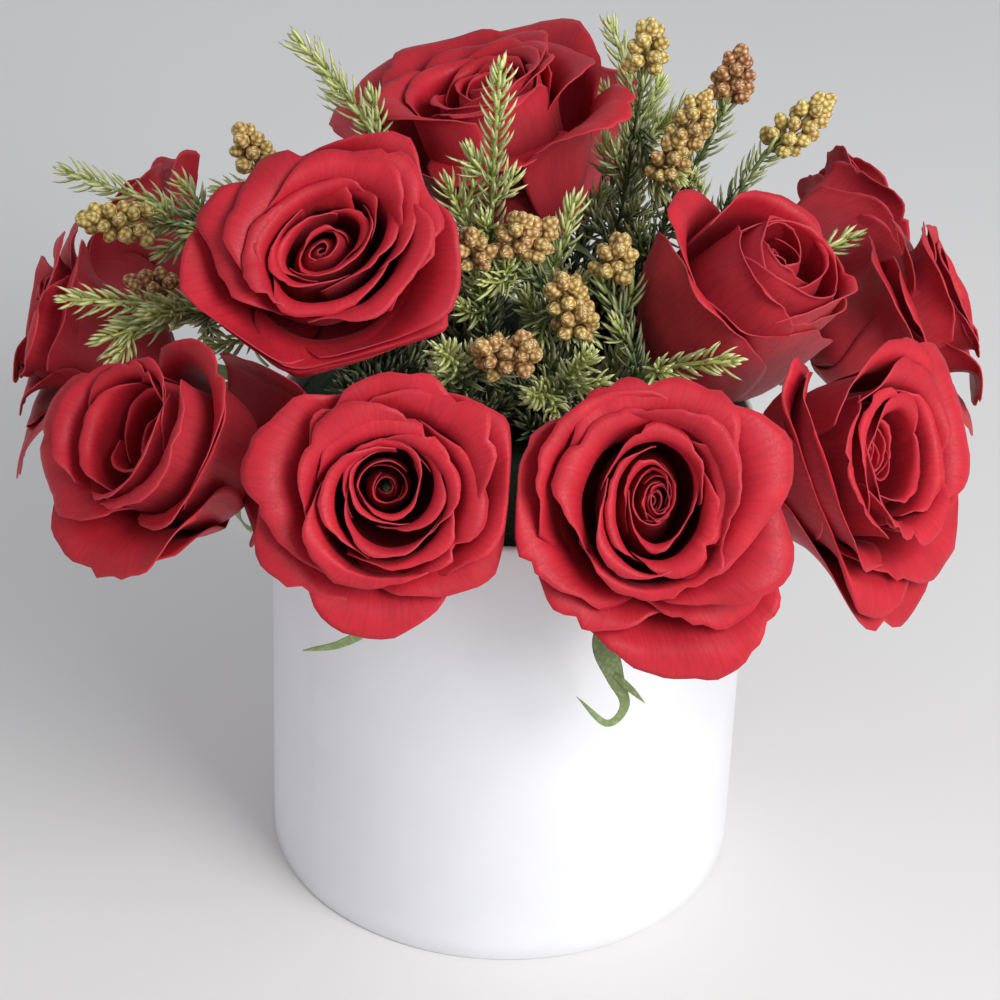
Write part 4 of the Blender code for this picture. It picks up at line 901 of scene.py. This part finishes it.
# Each sprig: its twig and side twigs as the four points that bend them, in mm, and for a
# twig that carries cones the name of that cluster.
SPRIGS = {
    "far_left": [
        ((-39, 15.6, 168), (-39, 15.6, 199.4), (-103.1, 20.5, 208.4), (-140, 29.5, 218.5), None),
        ((-90, 20.8, 206.6), (-103, 17, 209.3), (-103, 17, 209.3), (-113.3, 9.2, 211), "far_left")],
    "left": [
        ((-42, -20.8, 168), (-42, -20.8, 197.9), (-104.7, -28.9, 207.2), (-133, -35, 210), None),
        ((-88.8, -27.4, 202.6), (-100.8, -29.3, 205), (-108.7, -34.9, 201), (-122, -40, 200), None),
        ((-88.8, -27.4, 202.6), (-94.4, -21.2, 197), (-94.4, -21.2, 197), (-98.7, -14.7, 196.7), "left")],
    "left_back": [
        ((-30, 20.8, 168), (-30, 20.8, 192), (-63.6, 22.1, 217.3), (-93, 20, 219), None),
        ((-58.1, 21.2, 207.2), (-71.3, 18, 214.8), (-71.3, 18, 214.8), (-77.6, 15, 225.3), "left_back")],
    "upper_left": [
        ((-24, 10.4, 168), (-24, 10.4, 201.1), (-40.8, 10, 248.6), (-69, 25, 267), None)],
    "centre_tall": [
        ((-9, -15.6, 168), (-9, -15.6, 196.2), (-10.1, -26.1, 237.4), (-8, -22, 284), None),
        ((-9.3, -19, 207.6), (-9.3, -20.5, 221.8), (-17.5, -19.6, 230.6), (-23, -20, 246), None),
        ((-9.1, -16.7, 186.4), (-10.6, -22.6, 205.1), (-10.6, -22.6, 205.1), (-12.7, -29, 218.1),
         "centre_tall")],
    "back_dark": [
        ((33, 36.4, 168), (33, 36.4, 194.2), (40.8, 74, 220.6), (25, 80, 251), None)],
    "back_gold": [
        ((27, 26, 168), (27, 26, 189.4), (34.3, 39.3, 242), (34.8, 39.8, 250), "back_gold"),
        ((33.3, 37.4, 236.8), (36.3, 30.2, 230.8), (36.3, 30.2, 230.8), (40.8, 20.6, 225.2), "middle_gold")],
    "right_back": [
        ((33, 26, 168), (33, 26, 194.5), (57.8, 32.5, 236.3), (59.3, 33.5, 244.1), "right_back")],
    "right": [
        ((45, 15.6, 168), (45, 15.6, 196.1), (68.4, 25.4, 230.1), (74.1, 27.1, 235.4), "right")],
    "centre_right": [
        ((6, -20.8, 168), (6, -20.8, 187), (8.2, -24.4, 215), (15, -12, 237), None),
        ((8.9, -20.4, 208.7), (11.8, -27.6, 208.3), (11.8, -27.6, 208.3), (14.5, -38.7, 208.3),
         "centre_right"),
        ((8.9, -20.4, 208.7), (2.7, -21.7, 215.3), (2.7, -21.7, 215.3), (-3.6, -26.1, 222.1), "centre_high")],
    "centre_left": [
        ((-15, -36.4, 168), (-15, -36.4, 184), (-16.1, -53.9, 203.8), (-22, -72, 219), None),
        ((-17, -51.6, 199.1), (-10.4, -53.6, 200.8), (-10.4, -53.6, 200.8), (-3, -55.8, 204.7),
         "centre_low")],
    "centre_front": [
        ((9, -36.4, 168), (9, -36.4, 181.8), (14.6, -51.6, 198.2), (20, -66, 216), None),
        ((11.3, -42.7, 185.7), (13.7, -49.2, 195.2), (6.9, -59.1, 196.7), (4, -70, 204), None)],
    "front_right": [
        ((24, -31.2, 168), (24, -31.2, 182.9), (30.7, -45.5, 201.6), (61, -62, 213), None),
        ((34.9, -44, 196.5), (32.2, -39.4, 206.3), (32.2, -39.4, 206.3), (24.2, -29.7, 218.1),
         "front_right")],
    "right_tip": [
        ((48, 0, 168), (48, 0, 191.3), (88.3, 24.6, 201.6), (103, 35, 203), None)],
    "back_middle": [
        ((-9, 46.8, 168), (-9, 46.8, 188.4), (-16.8, 75, 209.4), (-22, 84, 236), None),
        ((-15.2, 67, 206.5), (-17, 72.2, 214.1), (-26.5, 73.6, 215.8), (-34, 78, 222), None)],
    "back_left": [
        ((-24, 41.6, 168), (-24, 41.6, 189.9), (-50.9, 64.4, 209.4), (-62, 76, 230), None),
        ((-43.8, 58.9, 205.6), (-49.7, 64.2, 212.7), (-47.5, 75.2, 213), (-50, 86, 218), None)],
    "back_right": [
        ((15, 46.8, 168), (15, 46.8, 189.9), (36.3, 75, 209.4), (42, 88, 228), None),
        ((30, 67.9, 205.2), (34.5, 74.9, 212.6), (43.2, 74, 217.7), (52, 78, 226), None)],
}


def crosses(start, end):
    """Whether the line from start to end runs through a petal."""
    way = (end - start) * MM
    return any(petals.ray_cast(start * MM, way, way.length)[0] is not None for petals in bloom_trees)


def inside_box(place):
    """Whether a place lies well inside the box round the solids."""
    return all(low + BOX_MARGIN < axis * MM < high - BOX_MARGIN
               for low, axis, high in zip(cad_box[0], place, cad_box[1]))


def around(along, turn):
    """The way square to a line, turned round it."""
    side = along.orthogonal().normalized()
    return side * math.cos(turn) + along.cross(side) * math.sin(turn)


def awl_needle(bm, base, along, out, length, angle, age_and_light):
    """A stiff needle: it leaves the twig sideways, bends forward and ends in a sharp tip."""
    made = bmesh.ops.create_grid(bm, x_segments=3, y_segments=4, size=1.0)["verts"]
    side = along.cross(out)
    spots = {}
    for vert in made:
        turn, t = math.pi * (vert.co.x + 1.0), (vert.co.y + 1.0) / 2.0
        spots[vert] = t
        reach = length * t
        middle = (base + along * (reach * math.cos(angle) + 0.22 * reach * t)
                  + out * (reach * math.sin(angle) - 0.2 * reach * t))
        width = NEEDLE_WIDTHS[round(t * 4)]
        vert.co = (middle + side * (width * math.cos(turn))
                   + (out - along * 0.4) * (0.6 * width * math.sin(turn))) * MM
    mapped(made, bm.loops.layers.uv.verify(), lambda vert: (age_and_light, spots[vert]))


def needled_twig(bm, path, thick, age_and_light, young_and_lit, draw):
    """A twig with needles all round it, short ones at its tip."""
    flat = Vector((0.3, -0.9, 0.35)).normalized()
    total = sum((end - start).length for start, end in zip(path, path[1:]))
    swept(bm, [path[0]] + path + [path[-1]], 6,
          lambda t: (thick * (1.0 - 0.55 * t) if 0.0 < t < 1.0 else 0.0,) * 2 + (0.0,), flat,
          lambda u, v: (age_and_light + (young_and_lit - age_and_light) * v, 0.1))
    walked, wanted, turn = 0.0, draw.uniform(0.0, NEEDLE_STEP), draw.uniform(0.0, 360.0)
    for start, end in zip(path, path[1:]):
        span = (end - start).length
        along = (end - start).normalized()
        side = along.cross(flat).normalized()
        over = side.cross(along)
        while wanted < walked + span:
            share = wanted / total
            turn += GOLDEN_ANGLE + draw.uniform(-12, 12)
            angle = math.radians(turn)
            out = side * math.cos(angle) + over * math.sin(angle)
            tip = smooth(0.0, 6.0, total - wanted)
            length = NEEDLE_LENGTH * (0.45 + 0.55 * tip) * draw.uniform(0.75, 1.2)
            lean = math.radians(22 + 30 * tip + draw.uniform(-8, 8))
            base = start.lerp(end, (wanted - walked) / span) + out * thick * 0.3
            reach = base + (along * math.cos(lean) + out * math.sin(lean) * 0.8) * length
            wanted += NEEDLE_STEP * draw.uniform(0.7, 1.3)
            if inside_box(reach) and not crosses(base, reach):
                own_age_and_light = age_and_light + (young_and_lit - age_and_light) * share + draw.uniform(-0.06, 0.06)
                awl_needle(bm, base, along, out, length, lean, own_age_and_light)
        walked += span
    return total


for name, twigs in SPRIGS.items():
    draw = random.Random(f"twigs{name}")
    bm = bmesh.new()
    bm.loops.layers.uv.new("grown")
    for order, (*ends, cluster) in enumerate(twigs):
        ends = [Vector(end) for end in ends]
        path = [curve_at(ends, share / 16) for share in range(17)]
        path = [point for point in path if point.z > FOAM_SHOULDER + 12.0]
        if order == 0:
            path = [ends[0] - Vector((0, 0, 22))] + path
        if cluster:
            path.append(path[-1] + (path[-1] - path[-2]).normalized() * 3.5)
        age_and_light = 0.05 if order == 0 else 0.45
        young_and_lit = 0.75 if cluster else 1.0
        total = needled_twig(bm, path, 1.15 if order == 0 else 0.9, age_and_light, young_and_lit, draw)
        # Side twigs, where there is room for them
        walked, wanted, turn = 0.0, total * 0.3, draw.uniform(0.0, 360.0)
        for start, end in zip(path, path[1:]):
            span = (end - start).length
            while wanted < walked + span and wanted < total * 0.74:
                share = wanted / total
                along = (end - start).normalized()
                turn += GOLDEN_ANGLE
                out = around(along, math.radians(turn))
                length = draw.uniform(10.0, 17.0)
                root = start.lerp(end, (wanted - walked) / span)
                bent = root + (along * 0.62 + out * 0.78) * length * 0.5
                tip = bent + (along * 0.9 + out * 0.44) * length * 0.5
                wanted += draw.uniform(6.0, 10.0)
                free = not crosses(root, bent) and not crosses(bent, tip)
                if free and inside_box(tip) and tip.z > 172.0:
                    own_age_and_light = age_and_light + (young_and_lit - age_and_light) * share
                    needled_twig(bm, bent_path([root, bent, tip], 4), 0.7, own_age_and_light, min(1.0, own_age_and_light + 0.35),
                                 draw)
            walked += span
    # Low twigs, near-black like old needles darkened with painted shade, hide the foam between the blooms
    root = Vector(twigs[0][0])
    for index in range(12 if name in DENSE else 5):
        turn = math.radians(index * GOLDEN_ANGLE)
        out = Vector((math.cos(turn), math.sin(turn), 0.0))
        start = root + Vector((0, 0, draw.uniform(0.0, 9.0)))
        length = draw.uniform(15.0, 24.0)
        bent = start + (out * 0.8 + Vector((0, 0, 0.5))) * length * 0.5
        tip = bent + (out * 0.6 + Vector((0, 0, draw.uniform(0.5, 0.9)))) * length * 0.5
        if not crosses(start, bent) and not crosses(bent, tip):
            needled_twig(bm, bent_path([start, bent, tip], 5), 0.8, 0.0, 0.4, draw)
    bmesh.ops.remove_doubles(bm, verts=bm.verts, dist=0.0000005)
    bmesh.ops.recalc_face_normals(bm, faces=bm.faces)
    sprig = piece_of(f"conifer_{name}", bm, "conifer_green", conifer_green)
    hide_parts(f"sprig_{name}")


# Pollen cones. Blunt open clusters of small egg-shaped cones at the ends of some twigs. Each
# cone is a spiral of rounded scales, golden when fresh and brown when ripe. The pale tips of the
# scales are partly their own colour and partly painted highlight; the grooves between them and
# the foot of each cone get painted shade.

CONE_RADIUS = 2.2
CONE_LENGTH = 2.9
CONE_STEP = 0.98
STALK_RADIUS = 0.9
SCALE_ROWS = 5.0

pollen_cone, tree, shader = finish("pollen_cone", 0.62)
shader.inputs["Specular IOR Level"].default_value = 0.3
tone = grained(tree, 120.0, 0.25)[0]
ripe, along = halves(tree, on_map(tree, "ripe"))
even = {"Vector": on_map(tree, "scales"), "Scale": 1.0, "Randomness": 0.2}
scales = step(tree, "ShaderNodeTexVoronoi", even, voronoi_dimensions="2D").outputs[0]
groove_shade = mixed(tree, ripe, (0.28, 0.15, 0.03, 1), (0.13, 0.04, 0.016, 1))
body = mixed(tree, ripe, (0.74, 0.56, 0.15, 1), (0.46, 0.19, 0.08, 1))
pale_and_highlight = mixed(tree, ripe, (0.93, 0.85, 0.46, 1), (0.86, 0.55, 0.32, 1))
# Painted highlight in the middle of each rounded scale, painted shade in the grooves between scales and at
# the foot of each cone.
colour = mixed(tree, between(tree, scales, 0.08, 0.36), pale_and_highlight, body)
colour = mixed(tree, between(tree, scales, 0.36, 0.62, 0.0, 0.85), colour, groove_shade)
colour = mixed(tree, between(tree, along, 0.0, 0.35, 0.7, 0.0), colour, groove_shade)
tree.links.new(toned(tree, colour, tone), shader.inputs["Base Color"])
embossed(tree, shader, between(tree, scales, 0.1, 0.6, 1.0, 0.0), 0.6, 0.0005)

# Each cluster: how ripe it is and its sprays. A spray is where its stalk starts, the way it
# starts and where it ends.
CONES = {
    "far_left": (0.12, ((-110, 9, 211.5), (-92, -30.7, 24.5), (-129.0, 4.0, 215.5))),
    "left": (0.8, ((-99, -15, 200), (-57.2, -8.2, 50), (-112.0, -17.0, 206.0))),
    "left_back": (0.35, ((-79, 15, 228), (-35.9, 0, 93.3), (-84.0, 15.0, 239.5))),
    "centre_tall": (0.5, ((-13, -30, 222), (-8.1, -24.2, 96.7), (-14.5, -33.0, 232.5))),
    "centre_high": (0.55, ((-3, -27, 225), (14.8, -22.2, 96.4), (-1.0, -30.0, 237.0)),
                    ((-1, -28, 227), (60, -10, 60), (6.0, -28.0, 234.5))),
    "back_gold": (0.1, ((35, 40, 252), (6.2, 6.2, 99.6), (36.0, 41.0, 266.0))),
    "middle_gold": (0.4, ((41, 20.5, 225), (29.1, -14.5, 94.6), (45.5, 18.5, 240.0)),
                    ((46, 20, 238), (40, 10, 80), (52.0, 22.0, 252.5))),
    "right_back": (0.9, ((60, 34, 246), (18.3, 12.2, 97.6), (63.0, 36.0, 260.5))),
    "right": (0.12, ((73, 27, 234), (71.7, 22.1, 66.2), (88.5, 31.5, 248.5))),
    "centre_right": (0.4, ((15, -41, 208), (13.3, -33.3, 93.3), (17.5, -46.0, 217.0)),
                     ((14, -40, 214), (-10, -30, 90), (12.5, -42.0, 224.5))),
    "centre_low": (0.65, ((-3, -58, 207), (-30, -50, 70), (-9.0, -66.0, 216.0)),
                   ((-2, -59, 208), (30, -50, 70), (1.5, -66.0, 216.5))),
    "front_right": (0.35, ((25, -30, 220), (20.9, -7, 97.5), (28.0, -31.0, 231.5))),
}

for name, (ripeness, *sprays) in CONES.items():
    draw = random.Random(f"cones{name}")
    bm = bmesh.new()
    scale_map = bm.loops.layers.uv.new("scales")
    ripe_map = bm.loops.layers.uv.new("ripe")
    for start, axis, end in sprays:
        start, axis, end = Vector(start), Vector(axis).normalized(), Vector(end)
        length = (end - start).length
        ends = (start, start + axis * length * 0.35, end - (end - start) * 0.3, end)
        path = [curve_at(ends, share / 10) for share in range(11)]
        made = bmesh.ops.create_grid(bm, x_segments=6, y_segments=10, size=1.0)["verts"]
        for vert in made:
            turn, row = math.pi * (vert.co.x + 1.0), round((vert.co.y + 1.0) * 5.0)
            along = (path[min(row + 1, 10)] - path[max(row - 1, 0)]).normalized()
            vert.co = (path[row] + around(along, turn) * (STALK_RADIUS if 0 < row < 10 else 0.0)) * MM
        count = round(length / CONE_STEP) + 3
        for index in range(count):
            share = index / (count - 1)
            t = 0.1 + 0.9 * share
            place = curve_at(ends, t)
            along = (curve_at(ends, min(1.0, t + 0.05)) - curve_at(ends, t - 0.05)).normalized()
            out = around(along, math.radians(index * GOLDEN_ANGLE + draw.uniform(-12, 12)))
            spread = 1.0 - share ** 4
            lean = math.radians(64.0 * spread + draw.uniform(-9, 9))
            up = along * math.cos(lean) + out * math.sin(lean)
            size = draw.uniform(0.86, 1.08)
            middle = place + out * 2.1 * spread + up * CONE_LENGTH * 0.9 * size
            turn_to = Vector((0, 0, 1)).rotation_difference(up)
            tone = min(1.0, max(0.0, ripeness + draw.uniform(-0.2, 0.2)))
            made = bmesh.ops.create_uvsphere(bm, u_segments=10, v_segments=8, radius=1.0)["verts"]
            spots = {}
            for vert in made:
                x, y, z = vert.co
                angle = math.atan2(y, x)
                spots[vert] = (angle / math.tau * SCALE_ROWS, (z + 1.0) * 1.6, (z + 1.0) / 2.0)
                wide = CONE_RADIUS * (1.0 + 0.07 * math.sin(SCALE_ROWS * angle + 6.0 * z))
                vert.co = (middle + turn_to @ Vector((x * wide, y * wide, z * CONE_LENGTH)) * size) * MM
            for face in {face for vert in made for face in vert.link_faces}:
                turns = [spots[corner.vert][0] for corner in face.loops]
                for corner in face.loops:
                    u, v, rise = spots[corner.vert]
                    if max(turns) - min(turns) > SCALE_ROWS / 2 and u < 0:
                        u += SCALE_ROWS
                    corner[scale_map].uv = (u, v)
                    corner[ripe_map].uv = (tone, rise)
    bmesh.ops.remove_doubles(bm, verts=bm.verts, dist=0.0000005)
    bmesh.ops.recalc_face_normals(bm, faces=bm.faces)
    cluster = piece_of(f"pollen_{name}", bm, "pollen_cone", pollen_cone)
    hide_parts(f"cones_{name}")


# Bring the scene up to date.

bpy.context.view_layer.update()
